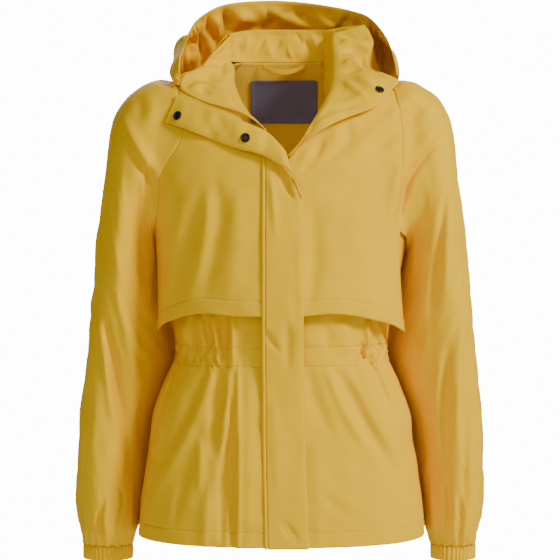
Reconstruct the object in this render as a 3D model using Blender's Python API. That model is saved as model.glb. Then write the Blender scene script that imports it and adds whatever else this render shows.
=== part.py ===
"""Hooded rain jacket, filled out as worn with no wearer, its front facing -Y.

Lengths are in metres, +Z is up and +X is the viewer's right. The origin is where the wearer's
shoulders hold the jacket. The tables hold millimetres, which table() turns into metres.
Left and right are the viewer's.
"""

import math

import bpy
import numpy as np
from mathutils import Vector

MM = 0.001

# Walls and seams
WALL = 1.3 * MM
THIN_WALL = 1.0 * MM
LABEL_WALL = 0.7 * MM
SEAM = 0.3 * MM
SLEEVE_CLEAR = 1.0 * MM
SIDE_SEAM_TURN = SEAM / (180.0 * MM)
ARMHOLE_SEAM_TURN = 5 * SIDE_SEAM_TURN
POWER = 2.4

# Front opening
BAND_TOP_LEFT = -84.0 * MM
BAND_TOP_RIGHT = -150.0 * MM
BAND_DROP = 1.5 * MM
PIPING_TOP = -92.0 * MM
PIPING_WIDTH = 4.5 * MM
PIPING_RISE = 1.2 * MM
LEFT_FRONT_GAP = 0.4 * MM
RIGHT_FRONT_EDGE = -19.0 * MM
LOWER_FRONT_TOP = -226.0 * MM
FLAP_HEM_REACH = 177.0 * MM
SHOULDER_CROWDING = 0.75

# Hem, armhole and cuffs
HEM_Z = -640.0 * MM
ARMPIT_Z = -222.0 * MM
CUFF_HEIGHT = 20.0 * MM
CUFF_GATHERS = 16
CUFF_GATHER_DEPTH = 1.1 * MM

# Small parts
SNAP_RADIUS = 6.6 * MM
SNAP_HEIGHT = 2.2 * MM
SNAP_CLEAR = 0.5 * MM
LABEL_SIZE = (97.0 * MM, 61.0 * MM)
LABEL_CORNER = 5.0 * MM
LABEL_INSET = 2.7 * MM
LABEL_CENTRE = (3.6 * MM, -25.5 * MM)
LOOP_WIDTH = 7.0 * MM
LOOP_LEFT = (-28.0 * MM, 62.5 * MM, 28.0 * MM)
LOOP_RIGHT = (34.0 * MM, 62.5 * MM, 28.0 * MM)
LOOP_SAG = (0.0, -5.0 * MM, -9.0 * MM)
LOOP_TILT = (0.0, 0.2, -1.0)


def table(columns, rows):
    """Turns rows of numbers into named columns: millimetres to metres, _deg columns to radians."""
    values = np.array(rows, float)
    named = {}
    for index, name in enumerate(columns.split()):
        named[name] = np.radians(values[:, index]) if name.endswith("_deg") else values[:, index] * MM
    return named


# Body sections from the top down: half_width at the side, depth from the side seam to the centre
CHEST = table("z half_width depth", [
    (0, 150, 35), (-6, 172, 56), (-13, 187, 72), (-20, 197, 83), (-50, 212, 102), (-100, 203.5, 122),
    (-150, 194, 134), (-200, 182, 141), (-222, 178.6, 143), (-250, 176.5, 145), (-300, 175.5, 147),
    (-360, 177.5, 146)])
SKIRT = table("z half_width depth", [
    (-226, 175.4, 132), (-250, 172, 134), (-280, 165, 135), (-315, 157, 134), (-350, 152, 131),
    (-385, 150, 130), (-427, 168, 133), (-475, 184, 137), (-500, 186, 139), (-540, 192, 142),
    (-605, 201, 146), (-640, 203, 147)])
BACK = table("z half_width depth", [
    (31, 88, 69), (30, 90, 70), (15, 118, 80), (0, 150, 89), (-10, 180, 94), (-20, 195, 99), (-50, 207, 110),
    (-100, 203, 120), (-150, 194, 126), (-200, 183, 126), (-222, 178.6, 124), (-250, 173, 121),
    (-300, 163, 114), (-350, 153, 105), (-385, 150, 101), (-427, 168, 108), (-475, 184, 118),
    (-500, 186, 121), (-540, 192, 125), (-605, 201, 130), (-640, 203, 131)])
BAND = table("z half_width depth left right", [
    (-80, 207, 118.5, -22, 6), (-100, 203, 124.5, -22, 10), (-150, 194, 136.5, -22, 27),
    (-200, 182, 143.5, -22, 28.6), (-250, 177, 147.5, -22, 29.2), (-300, 176, 149.5, -22, 29.8),
    (-340, 170, 147.5, -22, 30), (-380, 160, 140, -22, 30), (-427, 168, 137.5, -21.5, 30.5),
    (-500, 186, 141.4, -21, 32), (-605, 201, 147.8, -19, 36), (-640, 203, 148.8, -18.5, 37.5)])

# Mesh lining of the upper back, inset from the back panel
LINING = table("z half_width inset", [
    (30, 56, 2.6), (15, 70, 4.4), (0, 90, 5.5), (-40, 125, 6.5), (-100, 142, 7), (-165, 146, 8)])

# Armhole seam: the angle round the body, from the centre front, at each height
ARMHOLE = table("z left_deg right_deg back_deg", [
    (0, 90, 90, 90), (-6, 77, 79, 100), (-20, 66, 70, 110), (-50, 57, 66, 117), (-90, 56, 64, 119),
    (-116, 60.5, 63.3, 118.5), (-135, 64, 63, 118), (-165, 66.5, 63, 115), (-195, 72, 63.5, 109),
    (-212, 80, 68, 101), (-219, 85, 78, 95), (-222, 90, 90, 90)])

# Neck edge of each upper front and of the back, and the free side edge and hem of the storm flaps
NECK_LEFT = table("x z", [
    (27, -74), (57, -53), (82, -45), (102.5, -39), (126.5, -33), (139.6, -24), (153, -6)])
NECK_RIGHT = table("x z", [
    (-19, -118), (7.5, -114), (24, -99), (40.5, -75), (53.3, -60), (70.6, -47), (95, -37),
    (125, -28), (153, -6)])
NECK_BACK = table("angle_deg z", [
    (90, 0), (97, 2), (105, 7), (115, 17), (130, 28.5), (150, 30), (180, 30)])
FLAP_SIDE = table("z left_deg right_deg", [
    (-206, 77, 65.5), (-222, 86, 65), (-240, 86, 66.5), (-268, 84, 68.5), (-300, 81, 71), (-352, 78, 75)])
FLAP_TOP_Z = -209.0 * MM
BACK_ROWS = table("z", [
    (-5,), (-12,), (-20,), (-32,), (-52,), (-85,), (-125,), (-165,), (-195,), (-222,), (-258,), (-295,),
    (-330,), (-358,), (-385,), (-415,), (-450,), (-492,), (-540,), (-590,), (-640,)])
FLAP_HEM = table("x z", [
    (0, -324.5), (30, -324), (45, -322.3), (72, -321.5), (98, -326), (120, -332.5), (146, -340),
    (170, -350), (177.5, -352)])

# Sleeve sections from the shoulder to the wrist, for a right sleeve hanging beside the body
SLEEVE = table("outer_x outer_z inner_x inner_y inner_z front_x front_y back_y", [
    (178, 1.5, 180, 0, -226.5, 177.5, -85, 90),
    (200, -8.5, 181.2, 0, -231, 187, -86.5, 89),
    (221.5, -25.5, 181.2, 2, -237, 197.5, -86, 88),
    (237.5, -52, 180.2, 8, -244.5, 207, -84, 87),
    (244.5, -84, 178.8, 16, -254, 211, -81, 86),
    (247.5, -118, 177.2, 24, -267, 214, -78.5, 85),
    (251, -155, 175.4, 32, -282, 216, -76, 84),
    (255.5, -195, 172.5, 41, -300, 218.5, -73.5, 84),
    (260, -240, 165, 52, -322, 220.5, -70.5, 85),
    (265.5, -285, 150, 65, -346, 222, -67, 86),
    (271.5, -330, 143, 74, -372, 221.5, -63, 88),
    (277, -375, 144, 78, -402, 221, -59, 90),
    (282, -420, 160, 74, -437, 226, -56, 88),
    (286.5, -470, 187, 56, -480, 234, -54, 82),
    (290, -520, 198, 41, -524, 241, -53, 74),
    (291, -570, 203, 28, -571, 245, -52, 65),
    (289, -610, 206, 15, -610, 246, -49, 56),
    (285, -638, 209.5, 6, -638, 247, -44, 46),
    (281.5, -656, 213, 0, -656, 247, -34, 35)])
SEAM_SHAPE_LENGTH = 150.0 * MM
RIGHT_WRIST_IN = 6.5 * MM

# Turned-out front edges, from the foot of the opening to the neck: inner (rolled) and outer edge
FACING_LEFT = table("inner_x inner_y inner_z outer_x outer_y outer_z roll", [
    (4, -119, -108, 6, -123, -106, 0),
    (-10, -110, -93, -8, -122.5, -92, 1),
    (-26, -86, -68, -25.5, -115, -67, 4),
    (-44, -50, -47, -57, -104.5, -46, 7),
    (-58, -20, -24, -82, -97, -38.5, 9),
    (-66, 8, -1, -102.5, -88.5, -32.5, 10),
    (-66.5, 24, 14, -126.5, -74.5, -22, 10),
    (-67, 34, 20, -140, -58, -12, 9),
    (-69, 41, 24, -134.8, -34.4, 8.8, 6),
    (-71, 47, 28, -115.5, -1, 18, 2),
    (-73, 52, 31, -95, 29, 45, 0),
    (-75, 55, 32, -76, 57, 71, 0)])
FACING_RIGHT = table("inner_x inner_y inner_z outer_x outer_y outer_z roll", [
    (8.5, -126, -106, 11, -127, -106.5, 0),
    (24, -122.5, -89, 37.5, -126, -83, 1),
    (40.5, -112, -62.5, 66, -118, -65, 3),
    (53.5, -98, -41, 94, -110, -52.5, 5),
    (64, -79, -25, 123, -97.5, -41.5, 6),
    (70.5, -55, -13.5, 140, -82, -30, 7),
    (74.5, -35, 8, 154, -64, -13, 8),
    (75.5, -12, 26, 163, -50, 0, 9),
    (75.5, 6, 40, 137, -29.5, 9.2, 5),
    (75, 22, 52, 115, 0, 27, 2),
    (74.5, 36, 62, 124, 29, 59, 2),
    (75, 50, 72, 120, 46, 82, 2)])
NECK_BAND = table("foot_x foot_y foot_z top_x top_y top_z", [
    (-73, 58.5, 31, -74.5, 61.5, 71.5), (-50, 67.5, 31, -51, 74.7, 77), (-20, 71, 31, -20, 79.4, 78.5),
    (20, 71, 31, 20, 79, 78.5), (50, 67.5, 31, 51, 74, 78), (73, 58, 31, 76, 59, 77)])

# Hood, from its left front end round the back to its right front end. Each station runs from the
# neck edge down the inside to the bottom fold, out and up to the rim
HOOD = table(
    "neck_x neck_y neck_z wall_x wall_y wall_z foot_x foot_y foot_z "
    "bulge_x bulge_y bulge_z high_x high_y high_z rim_x rim_y rim_z", [
        (-142, -56, -8, -146, -53, -7, -151, -48, -5, -152, -47, 0, -148, -50, 2, -142, -54, -3),
        (-136, -30, 9, -143, -24, 7, -153, -16, 3, -161, -8, 7, -157, -18, 21, -141.5, -30, 28.5),
        (-118, 3, 17, -132, 11, 9, -150, 22, 5, -164, 24, 18, -157, 14, 39, -136, 0, 51.5),
        (-98, 33, 42, -120, 48, 18, -143, 66, 0, -163, 66, 22, -156, 48, 54, -131, 30, 74.5),
        (-78, 63, 69, -100, 84, 24, -118, 112, -40, -146, 124, 0, -142, 98, 62, -118, 60, 95),
        (-48, 77, 76, -68, 104, 10, -78, 134, -96, -106, 168, -46, -102, 142, 52, -86.5, 85, 114.5),
        (-16, 82, 78, -24, 112, 0, -28, 150, -128, -38, 190, -74, -35, 168, 42, -30, 100, 122.3),
        (20, 82, 78, 24, 112, 0, 28, 150, -128, 38, 190, -74, 35, 168, 42, 27, 100, 120.3),
        (56, 77, 77, 74, 104, 10, 84, 132, -92, 112, 164, -42, 110, 138, 50, 99, 80, 107),
        (120, 50, 80, 126, 70, 30, 132, 92, -26, 156, 104, 14, 151, 82, 62, 134, 50, 87.5),
        (127, 30, 57, 138, 44, 24, 150, 54, 3, 170, 52, 22, 166, 34, 46, 151, 10, 59),
        (118, 2, 25, 134, 8, 11, 152, 14, 5, 172, 12, 12, 173, -6, 20, 160.5, -30, 25.5),
        (139, -30, 8, 147, -30, 5, 157, -28, 3, 172.5, -22, 3, 172, -32, 8, 164, -44, 8)])

# Top of the band, turned back over the left chest: stations from its root to its free end
LAPEL = table("low_x low_y low_z up_x up_y up_z camber", [
    (28, -139.4, -165, 29, -139.7, -161, 0),
    (24, -143.5, -147, 20, -139, -135, 1),
    (11.5, -141, -127.5, 9, -134, -112, 2),
    (-8, -138, -116, 0.5, -131, -95, 3),
    (-32, -133, -104, -16, -126, -76, 3),
    (-58, -126, -97.5, -40, -120.5, -64.5, 3),
    (-84, -118, -89, -62, -114, -55, 3),
    (-104, -111.5, -81, -85.5, -105.5, -44, 3),
    (-125, -104, -72.5, -102, -98, -39, 3),
    (-143, -95, -66, -126, -85.5, -30.5, 2),
    (-161, -84, -60, -145.5, -74, -22.5, 1)])

FACING_BOW = (0.0, -0.75, 0.66)
LAPEL_BOW = (0.0, -0.98, 0.2)

# Largest folds of the cloth, as seen from the front or the back: a line, its width and its height
FRONT_FOLDS = table("x0 z0 x1 z1 width height", [
    (-127, -146, -157, -300, 7, -5), (-138, -160, -166, -300, 8, 4), (-84, -152, -112, -318, 8, -5),
    (-98, -150, -130, -320, 9, 4), (118, -75, 66, -150, 10, -4), (130, -90, 84, -160, 9, 3)])
SKIRT_FOLDS = table("x0 z0 x1 z1 width height", [
    (-107, -400, -182, -600, 10, -6), (-128, -400, -196, -580, 11, 6), (-84, -390, -100, -640, 11, -7),
    (-62, -360, -66, -640, 12, 5), (-112, -430, -128, -640, 10, 4), (34, -402, 62, -470, 10, -5),
    (78, -425, 160, -590, 12, -6), (100, -420, 180, -570, 12, 5), (120, -400, 152, -470, 8, -5),
    (56, -590, 96, -620, 9, -4), (70, -480, 96, -640, 14, 4)])
BACK_FOLDS = table("x0 z0 x1 z1 width height", [
    (-60, -395, -84, -640, 12, 6), (-20, -400, -24, -640, 12, -5), (30, -395, 40, -640, 13, 6),
    (80, -400, 118, -640, 12, -6), (-110, -395, -150, -640, 12, -6), (120, -395, 165, -620, 11, 5),
    (-100, -70, -50, -240, 12, 4), (100, -60, 60, -230, 12, 4), (-40, -250, -90, -370, 12, -4),
    (50, -240, 100, -370, 12, -4)])
SLEEVE_FOLDS = table("x0 z0 x1 z1 width height", [
    (232, -56, 177, -140, 10, 5), (222, -80, 182, -150, 9, -4), (228, -130, 234, -320, 10, 5),
    (206, -150, 214, -330, 11, -5), (230, -310, 200, -450, 9, 5), (236, -330, 214, -440, 9, -4),
    (262, -330, 252, -520, 10, 4), (250, -540, 258, -640, 7, -5), (226, -560, 232, -645, 7, 4)])
# Gathers drawn up by the waist elastic, as the places of their ridges across the front and back
WAIST_GATHERS = table("x width height", [
    (-148, 5, 4), (-137, 5, 5), (-126, 5, 4), (-116, 5, 5), (-105, 6, 4), (-94, 6, 5), (-80, 6, 4),
    (108, 6, 3), (121, 6, 5), (133, 5, 4), (143, 5, 5), (151, 5, 4)])
WAIST_Z = -382.0 * MM
GATHER_RISE = 45.0 * MM
GATHER_FALL = 55.0 * MM


def smooth(keys, values, at):
    """Smooth curve through values at keys, read at the given places, held level beyond the ends."""
    keys = np.asarray(keys, float)
    values = np.asarray(values, float)
    if keys[0] > keys[-1]:
        keys = keys[::-1]
        values = values[::-1]
    at = np.clip(np.asarray(at, float), keys[0], keys[-1])
    gaps = np.diff(keys)
    column = (slice(None),) + (None,) * (values.ndim - 1)
    slopes = np.diff(values, axis=0) / gaps[column]
    inner = (slopes[:-1] * gaps[1:][column] + slopes[1:] * gaps[:-1][column]) / (gaps[:-1] + gaps[1:])[column]
    tangents = np.concatenate([slopes[:1], inner, slopes[-1:]])
    index = np.clip(np.searchsorted(keys, at, side="right") - 1, 0, len(keys) - 2)
    more = (...,) + (None,) * (values.ndim - 1)
    gap = gaps[index][more]
    part = ((at - keys[index]) / gaps[index])[more]
    start, end = values[index], values[index + 1]
    rise_0, rise_1 = tangents[index] * gap, tangents[index + 1] * gap
    return (
        (2 * part**3 - 3 * part**2 + 1) * start + (part**3 - 2 * part**2 + part) * rise_0
        + (3 * part**2 - 2 * part**3) * end + (part**3 - part**2) * rise_1
    )


def on_body(shape, angle, z):
    """Points round a body section: angle 0 at the centre front, plus to the right, pi at the back."""
    half_width = smooth(shape["z"], shape["half_width"], z)
    depth = smooth(shape["z"], shape["depth"], z)
    across, along = np.sin(angle), np.cos(angle)
    radius = (np.abs(across / half_width) ** POWER + np.abs(along / depth) ** POWER) ** (-1 / POWER)
    return np.stack([radius * across, -radius * along, z + 0 * radius], axis=-1)


def front_angle(shape, x, z):
    """Angle round the body of the front point at x."""
    half_width = smooth(shape["z"], shape["half_width"], z)
    depth = smooth(shape["z"], shape["depth"], z)
    reach = np.clip(np.abs(x) / half_width, 0, 1)
    return np.arctan2(x, depth * (1 - reach**POWER) ** (1 / POWER))


def fold_height(folds, x, z):
    """Height of the listed folds at each x, z: soft ridges above 0 and troughs below."""
    total = np.zeros_like(x)
    columns = (folds[key] for key in ("x0", "z0", "x1", "z1", "width", "height"))
    for x0, z0, x1, z1, width, height in zip(*columns):
        length_squared = (x1 - x0) ** 2 + (z1 - z0) ** 2
        along = ((x - x0) * (x1 - x0) + (z - z0) * (z1 - z0)) / length_squared
        held = np.clip(along, 0, 1)
        away = np.hypot(x - x0 - held * (x1 - x0), z - z0 - held * (z1 - z0))
        fade = np.sin(math.pi * np.clip(0.12 + 0.76 * held, 0, 1))
        total += height * fade * np.exp(-((away / width) ** 2))
    return total


def gather_height(x, z):
    """Height of the puckers that the waist elastic draws up, largest at the elastic."""
    above = z > WAIST_Z
    reach = np.where(above, GATHER_RISE, GATHER_FALL)
    envelope = np.exp(-(((z - WAIST_Z) / reach) ** 2))
    total = np.zeros_like(x)
    for place, width, height in zip(WAIST_GATHERS["x"], WAIST_GATHERS["width"], WAIST_GATHERS["height"]):
        total += height * np.exp(-(((x - place) / width) ** 2))
    return total * envelope


def grid(rows, columns):
    """Two grids of fractions from 0 to 1, down the rows and across the columns."""
    return np.meshgrid(np.linspace(0, 1, rows), np.linspace(0, 1, columns), indexing="ij")


def mix(start, end, part):
    """Straight blend between two values."""
    return start + (end - start) * part


# Building the walls
def material(name, colour, roughness, metallic=0.0):
    """A plain surface of one colour."""
    made = bpy.data.materials.new(name)
    made.use_nodes = True
    shader = made.node_tree.nodes["Principled BSDF"]
    shader.inputs["Base Color"].default_value = (*colour, 1.0)
    shader.inputs["Roughness"].default_value = roughness
    shader.inputs["Metallic"].default_value = metallic
    return made


def add_object(name, vertices, faces, surface):
    """A smooth-shaded object made from points and faces."""
    mesh = bpy.data.meshes.new(name)
    mesh.from_pydata([tuple(map(float, point)) for point in vertices], [], faces)
    mesh.validate()
    mesh.shade_smooth()
    made = bpy.data.objects.new(name, mesh)
    made.data.materials.append(surface)
    bpy.context.scene.collection.objects.link(made)
    return made


def cloth(name, points, surface, closed=False, flip=False, wall=WALL):
    """Cloth wall through a grid of points on its outer side, closed round its columns for a tube."""
    rows, columns = points.shape[:2]
    faces = []
    for row in range(rows - 1):
        for column in range(columns if closed else columns - 1):
            right = (column + 1) % columns
            face = (row * columns + column, (row + 1) * columns + column,
                    (row + 1) * columns + right, row * columns + right)
            faces.append(face[::-1] if flip else face)
    made = add_object(name, points.reshape(-1, 3), faces, surface)
    solidify = made.modifiers.new("Cloth wall", "SOLIDIFY")
    solidify.thickness = wall
    solidify.offset = -1.0
    return made


def front_edge(side, z):
    """Distance of a front's centre edge from the middle at each height, plus on its own side."""
    if side > 0:
        return RIGHT_FRONT_EDGE + 0 * z
    return PIPING_WIDTH + SEAM + LEFT_FRONT_GAP - smooth(BAND["z"], BAND["left"], z)


def front_upper(side, neck):
    """Upper front, from its neck edge to the hem of its storm flap. side is -1 left or +1 right."""
    down, across = grid(15, 13)
    start = side * front_edge(side, LOWER_FRONT_TOP)
    top = smooth(neck["x"], neck["z"], mix(start, neck["x"][-1], across))
    hem = smooth(FLAP_HEM["x"], FLAP_HEM["z"], np.abs(mix(start, FLAP_HEM_REACH, across)))
    z = mix(top, hem, down + SHOULDER_CROWDING * across * (down**2 - down))
    name = "left_deg" if side < 0 else "right_deg"
    edge = np.where(z < FLAP_TOP_Z, smooth(FLAP_SIDE["z"], FLAP_SIDE[name], z),
                    smooth(ARMHOLE["z"], ARMHOLE[name], z))
    centre = front_angle(CHEST, front_edge(side, z), z)
    points = on_body(CHEST, side * mix(centre, edge - ARMHOLE_SEAM_TURN, across), z)
    points[..., 1] -= fold_height(FRONT_FOLDS, points[..., 0], z) * np.clip(6 * (1 - across), 0, 1)
    return points


def front_lower(side):
    """Lower front, gathered at the waist and flared to the hem."""
    down, across = grid(17, 25)
    z = mix(LOWER_FRONT_TOP, HEM_Z, down)
    centre = front_angle(SKIRT, front_edge(side, z), z)
    points = on_body(SKIRT, side * mix(centre, math.pi / 2 - SIDE_SEAM_TURN, across), z)
    height = fold_height(SKIRT_FOLDS, points[..., 0], z) + gather_height(points[..., 0], z)
    points[..., 1] -= height * np.clip(-points[..., 1] / (60 * MM), 0, 1)
    return points


def back_panel():
    """Back, from the neck to the hem."""
    across = np.linspace(0, 1, 23)
    side = 2 * across - 1
    top = smooth(NECK_BACK["angle_deg"], NECK_BACK["z"], math.pi - np.abs(side) * math.pi / 2)
    z = np.stack([top] + [down + 0 * across for down in BACK_ROWS["z"]])
    edge = np.where(z < ARMPIT_Z, math.pi / 2, smooth(ARMHOLE["z"], ARMHOLE["back_deg"], z))
    points = on_body(BACK, math.pi - side * (math.pi - edge - SIDE_SEAM_TURN), z)
    facing = np.clip(points[..., 1] / (70 * MM), 0, 1)
    points[..., 1] += fold_height(BACK_FOLDS, points[..., 0], z) * facing
    points[..., 1] += gather_height(points[..., 0] * 0.9, z) * facing
    return points


def armhole_ring(side, turn):
    """Armhole seam of one side at each turn: 0 at the armpit, up the front to pi at the shoulder."""
    z = mix(ARMHOLE["z"][0], ARMHOLE["z"][-1], 0.5 - 0.5 * np.cos(math.pi * np.linspace(0, 1, 61)))
    name = "left_deg" if side < 0 else "right_deg"
    front = on_body(CHEST, smooth(ARMHOLE["z"], ARMHOLE[name], z), z)[::-1]
    back = on_body(BACK, smooth(ARMHOLE["z"], ARMHOLE["back_deg"], z), z)
    ring = np.concatenate([front, back[1:]])
    length = np.concatenate([[0], np.cumsum(np.linalg.norm(np.diff(ring, axis=0), axis=1))])
    half = length[len(front) - 1]
    turns = np.where(length < half, math.pi * length / half,
                     math.pi + math.pi * (length - half) / (length[-1] - half))
    points = smooth(turns, ring, turn)
    points[:, 0] += SLEEVE_CLEAR
    return points


def section(inner, fore, outer, rear, turn):
    """Smooth closed section through four points a quarter turn apart."""
    cosine, sine, bend = np.cos(turn)[:, None], np.sin(turn)[:, None], np.cos(2 * turn)[:, None]
    centre = (inner + fore + outer + rear) / 4
    return (centre + cosine * (inner - outer) / 2 + sine * (fore - rear) / 2
            + bend * (inner - fore + outer - rear) / 4)


def sleeve(side, rows, columns):
    """Sleeve from the armhole to the wrist. side is -1 left or +1 right."""
    turn = np.linspace(0, 2 * math.pi, columns, endpoint=False)
    ring = armhole_ring(side, turn)
    quarters = armhole_ring(side, np.linspace(0, 1.5 * math.pi, 4))
    own_shape = ring - section(*quarters, turn)
    sections = [section(*quarters, turn)]
    wrist = np.clip((SLEEVE["outer_z"] + 0.42) / -0.236, 0, 1)
    for index in range(len(SLEEVE["outer_x"])):
        row = {key: values[index] for key, values in SLEEVE.items()}
        outer_x = row["outer_x"] - (RIGHT_WRIST_IN * wrist[index] if side > 0 else 0)
        middle_z = (row["outer_z"] + row["inner_z"]) / 2
        inner = np.array([row["inner_x"], row["inner_y"], row["inner_z"]])
        outer = np.array([outer_x, row["inner_y"] * 0.15, row["outer_z"]])
        fore = np.array([row["front_x"], row["front_y"], middle_z])
        rear = np.array([(outer_x + row["inner_x"]) / 2, row["back_y"], middle_z])
        sections.append(section(inner, fore, outer, rear, turn))
    sections = np.array(sections)
    steps = np.linalg.norm(np.diff(sections, axis=0), axis=2)
    keys = np.concatenate([[0], np.cumsum(steps.mean(axis=1) + 0.5 * steps.max(axis=1))])
    places = np.linspace(0, keys[-1], rows)
    left = np.clip(1 - places / SEAM_SHAPE_LENGTH, 0, 1)[:, None, None]
    points = smooth(keys, sections, places) + own_shape * left**2 * (3 - 2 * left)
    height = fold_height(SLEEVE_FOLDS, points[..., 0], points[..., 2])
    points[..., 1] -= height * np.sin(turn) * np.clip(places / (40 * MM), 0, 1)[:, None]
    points[..., 0] *= side
    return points


def cuff(side, end):
    """Narrow gathered cuff below the sleeve's last section."""
    columns = 3 * CUFF_GATHERS
    turn = np.linspace(0, 2 * math.pi, columns, endpoint=False)
    centre = end.mean(axis=0)
    half_x = (end[:, 0].max() - end[:, 0].min()) / 2
    half_y = (end[:, 1].max() - end[:, 1].min()) / 2
    rows = []
    for drop in (SEAM, CUFF_HEIGHT):
        wave = CUFF_GATHER_DEPTH * np.cos(CUFF_GATHERS * turn)
        rows.append(np.stack([
            centre[0] + side * np.cos(turn) * (half_x - 1.5 * MM + wave) * -1,
            centre[1] - np.sin(turn) * (half_y - 1.5 * MM + wave),
            end[:, 2].min() - drop + 0 * turn], axis=-1))
    return np.array(rows)


def strip(stations, first, last, along, across, bow=None, towards=FACING_BOW):
    """Strip of cloth between two edges given at stations, bowed towards one direction."""
    start = np.stack([stations[f"{first}_{axis}"] for axis in "xyz"], axis=-1)
    end = np.stack([stations[f"{last}_{axis}"] for axis in "xyz"], axis=-1)
    middle = (start + end) / 2
    keys = np.concatenate([[0], np.cumsum(np.linalg.norm(np.diff(middle, axis=0), axis=1))])
    places = np.linspace(0, keys[-1], along)
    start, end = smooth(keys, start, places), smooth(keys, end, places)
    part = np.linspace(0, 1, across)[None, :, None]
    points = mix(start[:, None], end[:, None], part)
    if bow is not None:
        height = smooth(keys, stations[bow], places)[:, None, None]
        points = points + 4 * part * (1 - part) * height * np.array(towards)
    return points


def hood_points(along, across):
    """Hood, from its left front end round the back to its right front end."""
    names = ("neck", "wall", "foot", "bulge", "high", "rim")
    stations = np.stack(
        [np.stack([HOOD[f"{name}_{axis}"] for axis in "xyz"], axis=-1) for name in names], axis=1)
    steps = np.linalg.norm(np.diff(stations[:, (0, 3, 5)], axis=0), axis=2).mean(axis=1)
    keys = np.concatenate([[0], np.cumsum(steps)])
    profiles = smooth(keys, stations, np.linspace(0, keys[-1], along))
    rows = []
    for profile in profiles:
        run = np.concatenate([[0], np.cumsum(np.linalg.norm(np.diff(profile, axis=0), axis=1))])
        rows.append(smooth(run, profile, np.linspace(0, run[-1], across)))
    return np.array(rows)


def band_points(rows, columns):
    """Wide band over the front opening."""
    down, across = grid(rows, columns)
    top = mix(BAND_TOP_LEFT, BAND_TOP_RIGHT, across)
    z = mix(top, HEM_Z - BAND_DROP, down)
    left = smooth(BAND["z"], BAND["left"], z)
    right = smooth(BAND["z"], BAND["right"], z)
    return on_body(BAND, front_angle(BAND, mix(left, right, across), z), z)


def piping_points(rows, columns):
    """Raised edge along the sewn side of the band."""
    down, across = grid(rows, columns)
    z = mix(PIPING_TOP, HEM_Z - BAND_DROP, down)
    right = smooth(BAND["z"], BAND["left"], z) - SEAM
    x = mix(right - PIPING_WIDTH, right, across)
    points = on_body(BAND, front_angle(BAND, x, z), z)
    points[..., 1] -= PIPING_RISE * np.sin(math.pi * across)
    return points


def label_points():
    """Sewn label on the lining, with rounded corners, as a fan of its outline."""
    across, down = np.meshgrid(np.linspace(-0.5, 0.5, 7), np.linspace(0.5, -0.5, 5))
    x = LABEL_CENTRE[0] + across * LABEL_SIZE[0]
    z = LABEL_CENTRE[1] + down * LABEL_SIZE[1]
    corner = (np.abs(across) > 0.499) & (np.abs(down) > 0.499)
    x = np.where(corner, x - np.sign(across) * LABEL_CORNER * 0.5, x)
    z = np.where(corner, z - np.sign(down) * LABEL_CORNER * 0.5, z)
    return x, z


def lining_y(x, z):
    """Depth of the lining's inner side at x, z."""
    inset = smooth(LINING["z"], LINING["inset"], z)
    half_width = smooth(BACK["z"], BACK["half_width"], z) - inset
    depth = smooth(BACK["z"], BACK["depth"], z) - inset
    return depth * (1 - np.clip(np.abs(x) / half_width, 0, 1) ** POWER) ** (1 / POWER)


def lining_points(rows, columns):
    """Mesh lining of the upper back, inside the back panel."""
    down, across = grid(rows, columns)
    side = 2 * across - 1
    z = mix(LINING["z"][0], LINING["z"][-1], down)
    x = side * smooth(LINING["z"], LINING["half_width"], z)
    return np.stack([x, lining_y(x, z), z], axis=-1)


def seat(stations, first, last, bow, towards, along, across):
    """Place and outward direction of a fitting on a strip, at fractions along and across it."""
    rows, columns = 101, 41
    points = strip(stations, first, last, rows, columns, bow, towards)
    row, column = round(along * (rows - 1)), round(across * (columns - 1))
    run = points[row + 1, column] - points[row - 1, column]
    rise = points[row, column + 1] - points[row, column - 1]
    normal = np.cross(run, rise)
    normal /= np.linalg.norm(normal) * (1 if normal[1] < 0 else -1)
    return Vector(points[row, column]), Vector(normal)


def snap(name, place, normal, surface):
    """Round snap with a domed cap, facing away from the cloth."""
    profile = [(0.0, 1.0), (0.45, 0.92), (0.72, 0.62), (0.78, 0.5), (1.0, 0.42), (1.0, 0.0)]
    sides = 14
    vertices = []
    for radius, height in profile[1:]:
        for step in range(sides):
            angle = 2 * math.pi * step / sides
            vertices.append((radius * SNAP_RADIUS * math.cos(angle), radius * SNAP_RADIUS * math.sin(angle),
                             height * SNAP_HEIGHT))
    rings = len(profile) - 1
    faces = [tuple(range(sides))]
    for ring in range(rings - 1):
        for step in range(sides):
            after = (step + 1) % sides
            faces.append((ring * sides + step, (ring + 1) * sides + step,
                          (ring + 1) * sides + after, ring * sides + after))
    faces.append(tuple(reversed(range((rings - 1) * sides, rings * sides))))
    made = add_object(name, vertices, faces, surface)
    made.location = place + normal * SNAP_CLEAR
    made.rotation_euler = normal.to_track_quat("Z", "Y").to_euler()
    return made


def loop_points():
    """Hanging loop below the neck seam, sagging from its two ends."""
    part = np.linspace(0, 1, 13)[:, None]
    path = mix(np.array(LOOP_LEFT), np.array(LOOP_RIGHT), part) + np.sin(math.pi * part) * np.array(LOOP_SAG)
    width = np.linspace(0, 1, 2)[None, :, None] * np.array(LOOP_TILT) * LOOP_WIDTH
    return path[:, None] + width


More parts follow.
